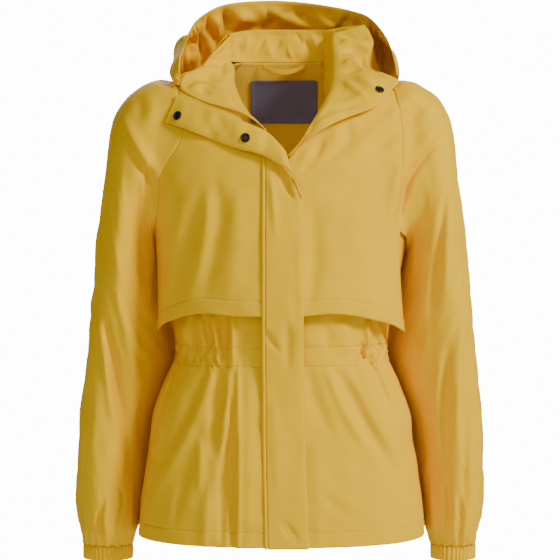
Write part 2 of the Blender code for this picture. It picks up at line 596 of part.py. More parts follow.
def build():
    """Makes every piece of the jacket."""
    shell = material("Coated yellow cloth", (0.86, 0.49, 0.03), 0.55)
    mesh_lining = material("Yellow mesh", (0.80, 0.45, 0.03), 0.8)
    dark_weave = material("Dark label weave", (0.05, 0.045, 0.06), 0.8)
    dark_metal = material("Dark metal", (0.03, 0.02, 0.02), 0.35, 1.0)

    cloth("back", back_panel(), shell, flip=True)
    cloth("back_lining", lining_points(8, 17), mesh_lining, flip=True, wall=THIN_WALL)
    cloth("front_upper_left", front_upper(-1, NECK_LEFT), shell, flip=True)
    cloth("front_upper_right", front_upper(1, NECK_RIGHT), shell)
    cloth("front_lower_left", front_lower(-1), shell, flip=True)
    cloth("front_lower_right", front_lower(1), shell)
    cloth("placket", band_points(22, 4), shell)
    cloth("placket_piping", piping_points(22, 4), shell)
    cloth("placket_lapel", strip(LAPEL, "low", "up", 20, 5, "camber", LAPEL_BOW), shell, flip=True)
    cloth("facing_left", strip(FACING_LEFT, "inner", "outer", 22, 7, "roll", FACING_BOW), shell)
    turned = strip(FACING_RIGHT, "inner", "outer", 22, 7, "roll", FACING_BOW)
    cloth("facing_right", turned, shell, flip=True)
    cloth("neck_band", strip(NECK_BAND, "foot", "top", 12, 4), shell)
    cloth("hood", hood_points(28, 13), shell, flip=True)
    for side, name in ((-1, "left"), (1, "right")):
        points = sleeve(side, 24, 24)
        cloth(f"sleeve_{name}", points, shell, closed=True, flip=side < 0)
        cloth(f"cuff_{name}", cuff(side, points[-1]), shell, closed=True, flip=side < 0)
    cloth("hanging_loop", loop_points(), shell, flip=True, wall=THIN_WALL)
    x, z = label_points()
    label = np.stack([x, lining_y(x, z) - LABEL_INSET, z], axis=-1)
    cloth("label", label, dark_weave, wall=LABEL_WALL)
    snap("snap_1", *seat(LAPEL, "low", "up", "camber", LAPEL_BOW, 0.93, 0.35), dark_metal)
    snap("snap_2", *seat(LAPEL, "low", "up", "camber", LAPEL_BOW, 0.50, 0.45), dark_metal)
    snap("snap_3", *seat(FACING_RIGHT, "inner", "outer", "roll", FACING_BOW, 0.52, 0.80), dark_metal)


def main():
    """Empties the scene and builds the jacket."""
    for old in list(bpy.data.objects):
        bpy.data.objects.remove(old, do_unlink=True)
    build()


main()
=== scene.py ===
"""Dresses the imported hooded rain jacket: creased and gathered cloth, stitches, snaps, finishes and studio.

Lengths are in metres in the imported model's frame: +Z up, the front facing -Y, the origin at the wearer's
shoulders. Tables hold millimetres, which Table turns into metres. Left and right are the viewer's.
"""

import logging
import math
from dataclasses import dataclass, field
from enum import Enum

import bpy
import numpy as np
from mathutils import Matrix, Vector

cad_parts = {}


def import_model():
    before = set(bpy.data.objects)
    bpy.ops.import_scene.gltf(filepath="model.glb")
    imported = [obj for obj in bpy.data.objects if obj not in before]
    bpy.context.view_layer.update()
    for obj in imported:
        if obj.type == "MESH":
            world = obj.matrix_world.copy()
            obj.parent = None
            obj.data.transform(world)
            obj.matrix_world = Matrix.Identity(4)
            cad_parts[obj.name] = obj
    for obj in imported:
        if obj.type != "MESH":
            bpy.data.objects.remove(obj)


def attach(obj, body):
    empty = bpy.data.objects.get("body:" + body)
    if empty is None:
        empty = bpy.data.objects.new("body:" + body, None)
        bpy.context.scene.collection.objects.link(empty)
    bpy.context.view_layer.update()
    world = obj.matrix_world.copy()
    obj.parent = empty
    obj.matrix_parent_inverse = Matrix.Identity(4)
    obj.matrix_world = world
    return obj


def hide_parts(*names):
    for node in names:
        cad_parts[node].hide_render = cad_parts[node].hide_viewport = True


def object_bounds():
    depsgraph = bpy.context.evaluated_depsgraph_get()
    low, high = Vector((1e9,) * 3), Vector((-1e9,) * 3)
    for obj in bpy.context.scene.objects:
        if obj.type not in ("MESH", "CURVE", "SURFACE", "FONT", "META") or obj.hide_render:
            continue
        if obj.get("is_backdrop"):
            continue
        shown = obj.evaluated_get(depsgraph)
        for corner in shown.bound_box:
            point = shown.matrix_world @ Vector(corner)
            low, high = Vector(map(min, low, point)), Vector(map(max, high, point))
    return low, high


MM = 0.001
LOG = logging.getLogger("rain_jacket")
NARROWEST_SHEET = 10.0 * MM
SEAM_LIFT = 0.12 * MM
GROOVE_DEPTH = 0.9 * MM


class Side(Enum):
    """Side of the jacket as the viewer sees it, with the sign of its x."""

    LEFT = -1
    RIGHT = 1

    @property
    def word(self) -> str:
        """Word used in the pieces' names."""
        return self.name.lower()


class View(Enum):
    """Side from which creases are drawn: the axes across, up and in depth, and the way of the push.

    FRONT and BACK push only cloth on their own side of the jacket. VIEWER pushes all of it, and its last
    value only tells it apart from FRONT. OUTSIDE pushes the outer sides of the sleeves, away from the middle.
    """

    FRONT = (0, 2, 1, -1.0)
    VIEWER = (0, 2, 1, -1.0, True)
    BACK = (0, 2, 1, 1.0)
    OUTSIDE = (1, 2, 0, 1.0)


class Held(Enum):
    HUNG = "hung"
    GATHERED = "gathered"
    FOLDED = "folded"


# Curves and tables
def smooth(keys: np.ndarray, values: np.ndarray, at: np.ndarray) -> np.ndarray:
    """Smooth curve through values at keys, held level beyond the ends.

    Args:
        keys: places of the values, rising or falling.
        values: one value or point for each key.
        at: places to read.

    Returns:
        The curve's values at the places.
    """
    keys = np.asarray(keys, float)
    values = np.asarray(values, float)
    if keys[0] > keys[-1]:
        keys = keys[::-1]
        values = values[::-1]
    at = np.clip(np.asarray(at, float), keys[0], keys[-1])
    gaps = np.diff(keys)
    column = (slice(None),) + (None,) * (values.ndim - 1)
    slopes = np.diff(values, axis=0) / gaps[column]
    weights = gaps[:-1] + gaps[1:]
    inner = (slopes[:-1] * gaps[1:][column] + slopes[1:] * gaps[:-1][column]) / weights[column]
    tangents = np.concatenate([slopes[:1], inner, slopes[-1:]])
    index = np.clip(np.searchsorted(keys, at, side="right") - 1, 0, len(keys) - 2)
    more = (...,) + (None,) * (values.ndim - 1)
    gap = gaps[index][more]
    part = ((at - keys[index]) / gaps[index])[more]
    start, end = values[index], values[index + 1]
    rise_0, rise_1 = tangents[index] * gap, tangents[index + 1] * gap
    return (
        (2 * part**3 - 3 * part**2 + 1) * start + (part**3 - 2 * part**2 + part) * rise_0
        + (3 * part**2 - 2 * part**3) * end + (part**3 - part**2) * rise_1
    )


def mix(start: np.ndarray, end: np.ndarray, part: np.ndarray) -> np.ndarray:
    """Straight blend between two values."""
    return start + (end - start) * part


def step(low: float, high: float, at: np.ndarray) -> np.ndarray:
    """Smooth step from 0 at low to 1 at high."""
    part = np.clip((at - low) / (high - low), 0, 1)
    return part * part * (3 - 2 * part)


def bell(away: np.ndarray, reach: float) -> np.ndarray:
    """Bell curve: 1 where away is 0, nearly 0 at twice the reach."""
    return np.exp(-((away / reach) ** 2))


def run_along(line: np.ndarray) -> np.ndarray:
    """Length from a line's first point to each of its points."""
    return np.concatenate([[0], np.cumsum(np.linalg.norm(np.diff(line, axis=0), axis=1))])


def placed(name: str, data: bpy.types.ID) -> bpy.types.Object:
    """New object at the origin of the scene.

    Args:
        name: its name.
        data: its mesh, camera or light.

    Returns:
        The object.
    """
    made = bpy.data.objects.new(name, data)
    bpy.context.scene.collection.objects.link(made)
    return made


class Table:
    """Short table of named columns: millimetres turned into metres, _deg into radians, _n left alone."""

    def __init__(self, columns: str, rows: list) -> None:
        """Reads the rows.

        Args:
            columns: the columns' names, parted by spaces.
            rows: one tuple of numbers for each row.
        """
        values = np.array(rows, float)
        self.columns = {}
        for index, name in enumerate(columns.split()):
            unit = 1.0 if name.endswith("_n") else math.pi / 180 if name.endswith("_deg") else MM
            self.columns[name] = values[:, index] * unit

    def __getitem__(self, name: str) -> np.ndarray:
        """One column."""
        return self.columns[name]

    def __len__(self) -> int:
        """Number of rows."""
        return len(next(iter(self.columns.values())))

    def curve(self, key: str, name: str, at: np.ndarray) -> np.ndarray:
        """Smooth curve of one column along another."""
        return smooth(self[key], self[name], at)

    def points(self, name: str) -> np.ndarray:
        """Points held in the columns name_x, name_y and name_z."""
        return np.stack([self[f"{name}_{axis}"] for axis in "xyz"], axis=-1)

    def rows(self) -> list:
        """The rows, each as a dictionary."""
        return [{name: values[index] for name, values in self.columns.items()} for index in range(len(self))]


# Sizes shared with the source of the solids
POWER = 2.4
CHEST = Table("z half_width depth", [
    (0, 150, 35), (-6, 172, 56), (-13, 187, 72), (-20, 197, 83), (-50, 212, 102), (-100, 203.5, 122),
    (-150, 194, 134), (-200, 182, 141), (-222, 178.6, 143), (-250, 176.5, 145), (-300, 175.5, 147),
    (-360, 177.5, 146)])
SKIRT = Table("z half_width depth", [
    (-226, 175.4, 132), (-250, 172, 134), (-280, 165, 135), (-315, 157, 134), (-350, 152, 131),
    (-385, 150, 130), (-427, 168, 133), (-475, 184, 137), (-500, 186, 139), (-540, 192, 142),
    (-605, 201, 146), (-640, 203, 147)])
BACK = Table("z half_width depth", [
    (31, 88, 69), (30, 90, 70), (15, 118, 80), (0, 150, 89), (-10, 180, 94), (-20, 195, 99), (-50, 207, 110),
    (-100, 203, 120), (-150, 194, 126), (-200, 183, 126), (-222, 178.6, 124), (-250, 173, 121),
    (-300, 163, 114), (-350, 153, 105), (-385, 150, 101), (-427, 168, 108), (-475, 184, 118),
    (-500, 186, 121), (-540, 192, 125), (-605, 201, 130), (-640, 203, 131)])
BAND = Table("z half_width depth left right", [
    (-80, 207, 118.5, -22, 6), (-100, 203, 124.5, -22, 10), (-150, 194, 136.5, -22, 27),
    (-200, 182, 143.5, -22, 28.6), (-250, 177, 147.5, -22, 29.2), (-300, 176, 149.5, -22, 29.8),
    (-340, 170, 147.5, -22, 30), (-380, 160, 140, -22, 30), (-427, 168, 137.5, -21.5, 30.5),
    (-500, 186, 141.4, -21, 32), (-605, 201, 147.8, -19, 36), (-640, 203, 148.8, -18.5, 37.5)])
LINING = Table("z half_width inset", [
    (30, 56, 2.6), (15, 70, 4.4), (0, 90, 5.5), (-40, 125, 6.5), (-100, 142, 7), (-165, 146, 8)])
ARMHOLE = Table("z left_deg right_deg back_deg", [
    (0, 90, 90, 90), (-6, 77, 79, 100), (-20, 66, 70, 110), (-50, 57, 66, 117), (-90, 56, 64, 119),
    (-116, 60.5, 63.3, 118.5), (-135, 64, 63, 118), (-165, 66.5, 63, 115), (-195, 72, 63.5, 109),
    (-212, 80, 68, 101), (-219, 85, 78, 95), (-222, 90, 90, 90)])
NECK_LEFT = Table("x z", [
    (27, -69), (57, -48), (82, -41), (102.5, -35), (126.5, -26), (139.6, -18), (153, -6)])
NECK_RIGHT = Table("x z", [
    (-19, -118), (7.5, -114), (24, -99), (40.5, -75), (53.3, -60), (70.6, -47), (95, -37),
    (125, -28), (153, -6)])
NECK_BACK = Table("angle_deg z", [
    (90, 0), (97, 2), (105, 7), (115, 17), (130, 28.5), (150, 30), (180, 30)])
FLAP_SIDE = Table("z left_deg right_deg", [
    (-206, 77, 66.4), (-222, 86, 66.8), (-240, 86, 67.2), (-268, 84, 68.8), (-300, 81, 71), (-352, 78, 75)])
FLAP_HEM = Table("x z", [
    (0, -324.5), (30, -324), (45, -322.3), (72, -321.5), (98, -326), (120, -332.5), (146, -340),
    (170, -350), (177.5, -352)])
SLEEVE = Table("outer_x outer_z inner_x inner_y inner_z front_x front_y back_y", [
    (178, 1.5, 180, 0, -226.5, 177.5, -85, 90),
    (200, -8.5, 178.8, 8, -231, 187, -86.5, 89),
    (221.5, -25.5, 176.2, 18, -237, 197.5, -86, 88),
    (237.5, -52, 173.6, 32, -244.5, 207, -84, 87),
    (244.5, -84, 170.6, 42, -254, 211, -81, 86),
    (247.5, -118, 167.5, 46, -267, 214, -78.5, 85),
    (251, -155, 165.5, 50, -282, 216, -76, 84),
    (255.5, -195, 163, 54, -300, 218.5, -73.5, 84),
    (260, -240, 159, 58, -322, 220.5, -70.5, 85),
    (265.5, -285, 150, 65, -346, 222, -67, 86),
    (271.5, -330, 143, 74, -372, 221.5, -63, 88),
    (277, -375, 144, 78, -402, 221, -59, 90),
    (282, -420, 157, 78, -437, 226, -56, 88),
    (286.5, -470, 178, 70, -480, 234, -54, 84),
    (290, -520, 187, 60, -524, 241, -53, 78),
    (291, -570, 194, 48, -571, 245, -52, 70),
    (289, -610, 200, 34, -610, 246, -49, 60),
    (285, -638, 207, 16, -638, 247, -44, 47),
    (281.5, -656, 213, 0, -656, 247, -34, 35)])
FACING_LEFT = Table("inner_x inner_y inner_z outer_x outer_y outer_z roll", [
    (4, -119, -108, 6, -123, -106, 0),
    (-10, -110, -93, -8, -122.5, -92, 1),
    (-26, -86, -68, -25.5, -115, -67, 4),
    (-44, -50, -47, -57, -104.5, -46, 7),
    (-58, -20, -24, -82, -97, -38.5, 9),
    (-66, 8, -1, -102.5, -88.5, -32.5, 10),
    (-66.5, 24, 14, -126.5, -74.5, -22, 10),
    (-67, 34, 20, -140, -58, -12, 9),
    (-69, 41, 24, -134.8, -34.4, 8.8, 6),
    (-71, 47, 28, -115.5, -1, 18, 2),
    (-73, 52, 31, -95, 29, 45, 0),
    (-70.5, 56.5, 32, -71.5, 58.5, 71, 0)])
FACING_RIGHT = Table("inner_x inner_y inner_z outer_x outer_y outer_z roll", [
    (8.5, -126, -106, 11, -127, -106.5, 0),
    (24, -122.5, -89, 37.5, -126, -83, 1),
    (40.5, -112, -62.5, 66, -118, -65, 3),
    (53.5, -98, -41, 94, -110, -52.5, 5),
    (64, -79, -25, 123, -97.5, -41.5, 6),
    (70.5, -55, -13.5, 140, -82, -30, 7),
    (74.5, -35, 8, 154, -64, -13, 8),
    (75.5, -12, 26, 163, -50, 0, 9),
    (75.5, 6, 40, 139, -31.5, 9.2, 5),
    (75, 22, 52, 121, -3, 26, 3),
    (74.5, 36, 62, 131, 24, 57, 3),
    (75, 50, 72, 119, 47, 84, 2)])
NECK_BAND = Table("foot_x foot_y foot_z top_x top_y top_z", [
    (-73, 58.5, 31, -74.5, 61.5, 71.5), (-50, 67.5, 31, -51, 74.7, 77), (-20, 71, 31, -20, 79.4, 78.5),
    (20, 71, 31, 20, 79, 78.5), (50, 67.5, 31, 51, 74, 78), (73, 58, 31, 76, 59, 77)])
HOOD_POINTS = ("neck", "wall", "foot", "bulge", "high", "rim")
HOOD = Table(
    "neck_x neck_y neck_z wall_x wall_y wall_z foot_x foot_y foot_z "
    "bulge_x bulge_y bulge_z high_x high_y high_z rim_x rim_y rim_z", [
        (-142, -56, -8, -146, -53, -7, -151, -48, -5, -152, -47, 0, -148, -50, 2, -142, -54, -3),
        (-136, -30, 9, -143, -24, 7, -151, -16, 3, -157, -8, 7, -153, -18, 21, -141.5, -30, 28.5),
        (-118, 3, 17, -132, 11, 9, -148, 22, 5, -159, 24, 16, -152, 14, 38, -136, 0, 51.5),
        (-98, 33, 42, -120, 48, 18, -141, 66, 0, -156, 66, 20, -149, 48, 54, -131, 30, 74.5),
        (-78, 63, 69, -100, 84, 24, -118, 112, -40, -146, 124, 0, -142, 98, 62, -118, 60, 95),
        (-48, 77, 76, -68, 104, 10, -78, 134, -96, -106, 168, -46, -102, 142, 52, -86.5, 85, 114.5),
        (-16, 82, 78, -24, 112, 0, -28, 150, -128, -38, 190, -74, -35, 168, 42, -30, 100, 122.3),
        (20, 82, 78, 24, 112, 0, 28, 150, -128, 38, 190, -74, 35, 168, 42, 27, 100, 120.3),
        (56, 77, 77, 74, 104, 10, 84, 132, -92, 112, 164, -42, 110, 138, 50, 99, 80, 107),
        (120, 50, 80, 126, 70, 30, 132, 92, -26, 156, 104, 14, 151, 82, 62, 134, 50, 87.5),
        (127, 30, 57, 138, 44, 24, 150, 54, 3, 165, 52, 20, 161, 34, 46, 151, 10, 59),
        (118, 2, 25, 134, 8, 11, 150, 14, 3, 165, 12, 10, 166, -6, 19, 159, -30, 25.5),
        (139, -30, 8, 147, -30, 5, 154, -28, 1, 164, -22, 1, 164, -32, 6, 161, -44, 8)])
LAPEL = Table("low_x low_y low_z up_x up_y up_z camber", [
    (28, -139.4, -165, 29, -139.7, -161, 0),
    (24, -143.5, -147, 20, -139, -135, 1),
    (11.5, -141, -127.5, 9, -134, -112, 2),
    (-8, -138, -116, 0.5, -131, -95, 3),
    (-32, -133, -104, -16, -126, -76, 3),
    (-58, -126, -97.5, -40, -120.5, -64.5, 3),
    (-84, -118, -89, -62, -114, -55, 3),
    (-104, -111.5, -81, -85.5, -105.5, -44, 3),
    (-125, -104, -72.5, -102, -98, -39, 3),
    (-143, -95, -66, -126, -85.5, -30.5, 2),
    (-161, -84, -60, -145.5, -74, -22.5, 1)])
FACING_BOW = (0.0, -0.75, 0.66)
LAPEL_BOW = (0.0, -0.98, 0.2)
CREASE_COLUMNS = "x0 z0 x1 z1 x2 z2 width height"

# Creases drawn from the front on the chest and the sleeves: three places on a line, its width and height
UPPER_CREASES = Table(CREASE_COLUMNS, [
    (-113, -158, -130, -230, -154, -308, 10.5, -6.5), (-88, -146, -84, -201, -104, -292, 10.5, -6),
    (-100, -160, -106, -228, -130, -310, 7, 2.5), (-136, -165, -148, -228, -158, -283, 9, 3),
    (-62, -160, -60, -228, -74, -303, 12, 3), (-222, -50, -195, -100, -167, -138, 7, 8),
    (-221, -72, -197, -116, -175, -156, 5, -6.5), (-183, -18, -178, -40, -182, -60, 8, 4),
    (-200, -20, -196, -40, -200, -60, 6.5, -3.5), (-223, -140, -225, -240, -226, -320, 11, 8),
    (-196, -150, -196, -220, -190, -300, 12.5, -6.5), (-226, -300, -211, -375, -194, -450, 7, 9.5),
    (-216, -325, -200, -368, -174, -402, 7, 8), (-244, -335, -227, -445, -211, -552, 6.5, -13),
    (-255, -335, -237, -445, -219, -540, 5.5, 6.5), (-211, -410, -204, -500, -208, -560, 5.5, 8),
    (-234, -568, -224, -590, -235, -648, 3.5, -7), (-252, -596, -256, -620, -254, -648, 3.5, -6.5),
    (-244, -585, -246, -615, -244, -650, 4.5, 5.5), (-222, -615, -218, -628, -220, -645, 3.5, -5),
    (-268, -180, -262, -260, -266, -340, 7, -5), (-270, -390, -262, -450, -266, -520, 8, 5.5),
    (205, -24, 167, -64, 98, -121, 8, -7), (186, -20, 150, -52, 110, -86, 9, 4),
    (160, -40, 164, -100, 160, -168, 16, 8), (232, -70, 180, -132, 156, -216, 3.5, -8),
    (218, -64, 166, -126, 146, -208, 8.5, 7), (229, -145, 218, -225, 208, -318, 4.5, -6.5),
    (238, -175, 232, -229, 226, -290, 6.5, 5), (200, -240, 197, -310, 200, -390, 7, 6.5),
    (43, -180, 44, -242, 39, -300, 11, -6), (120, -185, 126, -235, 132, -280, 12.5, -3),
    (92, -62, 88, -90, 58, -116, 7.5, -5), (74, -68, 72, -86, 56, -102, 8, 4),
    (56, -84, 48, -104, 30, -126, 5, -4), (40, -92, 34, -106, 24, -120, 6, 3),
    (222, -400, 214, -470, 222, -560, 6.5, 6.5), (232, -370, 224, -450, 232, -540, 5.5, -6.5),
    (252, -330, 246, -430, 252, -540, 7, 6.5), (262, -420, 254, -500, 258, -590, 6.5, -6.5),
    (233, -565, 236, -600, 231, -648, 3.5, -7), (250, -585, 252, -615, 248, -648, 3.5, -6.5),
    (241, -580, 243, -615, 240, -650, 4.5, 5.5), (222, -605, 220, -625, 222, -648, 3.5, -5)])
LOWER_CREASES = Table(CREASE_COLUMNS, [
    (-105, -403, -125, -455, -156, -514, 8.5, -8), (-92, -395, -133, -490, -182, -588, 8, 6),
    (-84, -396, -90, -450, -94, -510, 7.5, -8), (-70, -392, -76, -452, -82, -520, 6, 5),
    (-74, -500, -78, -545, -82, -632, 6.5, -8), (-67, -440, -67, -535, -67, -650, 6, -9.5),
    (-59, -385, -60, -500, -59, -655, 4.5, 6.5), (-46, -390, -46, -520, -46, -655, 11, 4),
    (-146, -388, -165, -434, -184, -528, 4.5, 6.5), (-149, -400, -168, -455, -181, -505, 3.5, -7),
    (-168, -470, -169, -490, -173, -514, 4.5, 5), (-112, -495, -112, -525, -113, -560, 6.5, 5.5),
    (-124, -520, -136, -560, -148, -610, 7, -5), (-100, -560, -104, -600, -106, -655, 7, 4),
    (-136, -330, -135, -352, -134, -374, 4.5, 7), (-114, -325, -110, -350, -106, -370, 5, 8),
    (-95, -322, -92, -345, -89, -370, 4.5, 7), (-125, -330, -122, -352, -118, -374, 4, -7),
    (-104, -325, -100, -348, -96, -372, 4, -7), (-81, -320, -81, -346, -80, -376, 5, -9),
    (-75, -310, -75, -350, -75, -395, 2.5, -6.5), (-67, -305, -67, -350, -66, -398, 4.5, 8),
    (34, -396, 48, -446, 70, -492, 9, -4.5), (74, -398, 118, -484, 174, -575, 9, -8),
    (64, -405, 96, -468, 132, -525, 7, 7), (92, -400, 132, -470, 176, -540, 8, 5),
    (110, -364, 113, -380, 116, -396, 3.5, -7), (115, -380, 133, -412, 151, -462, 6, -8.5),
    (126, -384, 144, -419, 155, -450, 5.5, 5.5), (106, -392, 122, -428, 138, -464, 5.5, 5.5),
    (52, -565, 71, -583, 92, -598, 6, -2), (62, -556, 81, -571, 100, -586, 7, 1.5),
    (104, -555, 112, -568, 120, -580, 10, -2), (44, -500, 50, -560, 52, -640, 10, 3),
    (132, -378, 135, -384, 139, -388, 3, -3.5), (145, -376, 148, -382, 151, -388, 3, -3.5),
    (117, -368, 119, -373, 122, -378, 3, -3), (133, -364, 135, -369, 138, -373, 3, -3),
    (119, -330, 120, -350, 123, -370, 4.5, 8), (139, -332, 140, -352, 143, -372, 4.5, 8),
    (155, -334, 155, -352, 154, -372, 4.5, 8), (129, -332, 130, -352, 132, -372, 3.5, -7),
    (148, -334, 148, -352, 148, -372, 3.5, -7), (160, -400, 172, -440, 184, -500, 6.5, 5),
    (86, -330, 86, -350, 88, -372, 8, 3), (60, -330, 62, -350, 64, -372, 7, -3)])
BACK_CREASES = Table(CREASE_COLUMNS, [
    (-60, -392, -72, -500, -90, -640, 11, 8), (-20, -396, -22, -500, -26, -640, 11, -6.5),
    (30, -392, 36, -500, 42, -640, 11.5, 8), (80, -396, 96, -500, 120, -640, 11, -8),
    (-110, -392, -128, -500, -152, -640, 11, -8), (120, -392, 142, -480, 166, -620, 10, 6.5),
    (6, -400, 8, -480, 8, -560, 7, -5), (-86, -400, -104, -470, -120, -560, 7, 5),
    (-100, -60, -80, -160, -50, -240, 11.5, 5), (100, -60, 84, -160, 60, -235, 11.5, 5),
    (-40, -245, -62, -310, -90, -372, 10, -5), (50, -240, 72, -310, 100, -372, 10, -5),
    (-140, -120, -128, -200, -130, -300, 9, -5), (142, -110, 130, -200, 132, -300, 9, -5),
    (0, -190, 4, -280, 0, -370, 12.5, 4), (-120, -250, -118, -310, -124, -372, 7, 4.5),
    (118, -250, 116, -310, 122, -372, 7, 4.5), (-232, -90, -206, -150, -180, -200, 7, 5),
    (234, -84, 208, -146, 180, -196, 7, 5), (-214, -240, -222, -340, -214, -430, 9, 6.5),
    (214, -240, 224, -330, 214, -440, 9, 6.5), (-240, -300, -244, -400, -236, -500, 8, -6.5),
    (242, -290, 246, -390, 236, -510, 8, -6.5), (-228, -560, -232, -600, -228, -650, 4.5, -5),
    (230, -565, 234, -600, 230, -650, 4.5, -5), (-250, -570, -252, -605, -248, -650, 4.5, 4.5),
    (250, -575, 252, -608, 248, -650, 4.5, 4.5)])
# Creases drawn from the outer side of a sleeve, in y and z
OUTSIDE_CREASES = Table(CREASE_COLUMNS, [
    (-50, -120, -20, -210, -36, -300, 14, 3.5), (40, -160, 48, -260, 30, -350, 13, -3.5),
    (-24, -320, 2, -400, -10, -480, 13, -3), (-44, -380, -38, -450, -30, -540, 11, 3.5),
    (30, -400, 30, -480, 20, -560, 11, 5), (-14, -560, -16, -600, -12, -648, 5.5, -5.5),
    (10, -555, 12, -600, 10, -648, 5.5, 5), (30, -570, 28, -605, 24, -648, 5.5, -5)])
WAIST_CRINKLES = Table("left right", [(-152, -76), (104, 156)])
WAIST_Z = -381.0 * MM
CASING = (13.0 * MM, -13.0 * MM)
PLACKET_CREASES = Table(CREASE_COLUMNS, [
    (-24, -342, -14, -358, -2, -373, 3.5, -3.5), (8, -330, 8, -360, 9, -394, 5.5, -4),
    (0, -603, 10, -616, 22, -629, 4, -4), (-6, -120, 3, -138, 13, -160, 4, -6.5),
    (5, -122, 13, -142, 21, -164, 4.5, 5), (-16, -130, -12, -160, -8, -210, 4.5, 4),
    (-12, -440, -8, -500, -6, -560, 7, 2), (16, -220, 18, -280, 16, -330, 7, -1.5)])


def casing_grooves(z: np.ndarray) -> np.ndarray:
    """Depth of the two pulled-in lines of stitches that hold the waist elastic's casing."""
    return GROOVE_DEPTH * sum(bell(z - WAIST_Z - rise, 1.4 * MM) for rise in CASING)


# Creases round the neck, drawn from the front and pushed towards the viewer
HOOD_CREASES = Table(CREASE_COLUMNS, [
    (-77, 83, -57, 93, -40, 99, 6, 8.5), (-37, 83, -22, 89, -8, 96, 5, -8.5),
    (-47, 115, 5, 97, 50, 82, 6, 8.5), (18, 108, 30, 100, 40, 93, 4, -7),
    (-84, 63, -105, 46, -134, 21, 5, -10), (-141, 57, -143, 22, -141, -13, 5, 7),
    (-140, 43, -130, 37, -119, 46, 7, 7), (-130, 89, -121, 79, -110, 68, 4, 7),
    (-138, 75, -128, 64, -117, 53, 4, -7), (-122, 100, -110, 88, -97, 77, 4, -7),
    (-74, 66, -60, 78, -37, 89, 5, -7), (80, 80, 99, 68, 126, 55, 7, 8.5),
    (80, 77, 89, 72, 97, 68, 4, -8.5), (101, 88, 109, 81, 116, 71, 4, -7),
    (132, 81, 142, 52, 151, 19, 6, -10), (84, 95, 102, 92, 125, 86, 4, -7),
    (-103, 107, -86, 98, -72, 86, 5, -7), (-24, 110, -17, 102, -2, 93, 4, -7),
    (56, 110, 70, 99, 82, 87, 5, -7), (-96, 60, -104, 36, -124, 10, 5, 7),
    (118, 62, 134, 42, 146, 12, 5, 7)])
BAND_CREASES = Table(CREASE_COLUMNS, [
    (-60, 58, -60, 48, -60, 38, 3, -4), (-25, 64, -30, 56, -36, 46, 3, -3),
    (-1, 63, -6, 56, -14, 48, 3, -3), (21, 74, 25, 66, 31, 57, 3, -3), (34, 63, 38, 50, 44, 36, 3.5, -4),
    (59, 69, 62, 55, 64, 37, 4, -4), (-46, 74, -50, 61, -51, 45, 3.5, 3), (9, 54, 12, 44, 17, 35, 3, 2.5),
    (44, 70, 50, 56, 54, 40, 4, 3), (-20, 60, -18, 48, -12, 38, 4, 2.5)])
LEFT_FACING_CREASES = Table(CREASE_COLUMNS, [
    (-119, 17, -103, 18, -87, 15, 3.5, 5.5), (-119, 3, -103, 5, -87, 2, 3.5, -5.5),
    (-123, 27, -107, 30, -90, 33, 3.5, -4), (-80, 57, -93, 46, -106, 34, 3.5, 4),
    (-115, -12, -107, -15, -98, -18, 2.5, -4), (-96, -7, -82, -18, -63, -29, 4.5, 4),
    (-129, -11, -119, -9, -106, -5, 3.5, 4), (-82, 37, -85, 23, -79, 3, 4.5, -4),
    (-70, -20, -56, -38, -44, -52, 4.5, -3.5)])
RIGHT_FACING_CREASES = Table(CREASE_COLUMNS, [
    (75, 62, 74, 28, 70, -14, 4.5, 5.5), (70, -17, 56, -40, 37, -64, 4.5, 4),
    (84, 55, 101, 58, 120, 52, 3.5, 5.5), (86, 42, 103, 46, 122, 44, 3.5, -5.5),
    (86, 24, 96, 28, 108, 26, 3, 5), (88, 13, 100, 17, 114, 19, 3.5, -5.5),
    (75, -29, 92, -20, 112, -14, 5.5, -2.5), (52, -56, 78, -42, 112, -32, 5, -3),
    (84, 69, 101, 65, 122, 64, 3.5, -5), (102, 3, 118, -3, 134, -18, 5.5, 5),
    (86, -2, 98, -9, 117, -26, 4.5, 4), (109, 34, 122, 21, 140, 6, 4.5, -5.5),
    (44, -66, 62, -54, 84, -46, 5, 2.5)])
LAPEL_CREASES = Table(CREASE_COLUMNS, [
    (-110, -38, -108, -52, -112, -66, 8, -4), (-88, -48, -84, -60, -80, -72, 8, -4),
    (-102, -64, -96, -76, -92, -86, 7, -3), (-62, -58, -60, -72, -64, -84, 7, 3),
    (-24, -72, -20, -88, -26, -102, 7, -4), (-134, -30, -136, -44, -142, -58, 7, 2.5),
    (-6, -90, 2, -104, 0, -116, 5.5, 3), (8, -106, 14, -122, 20, -136, 4.5, -2.5)])


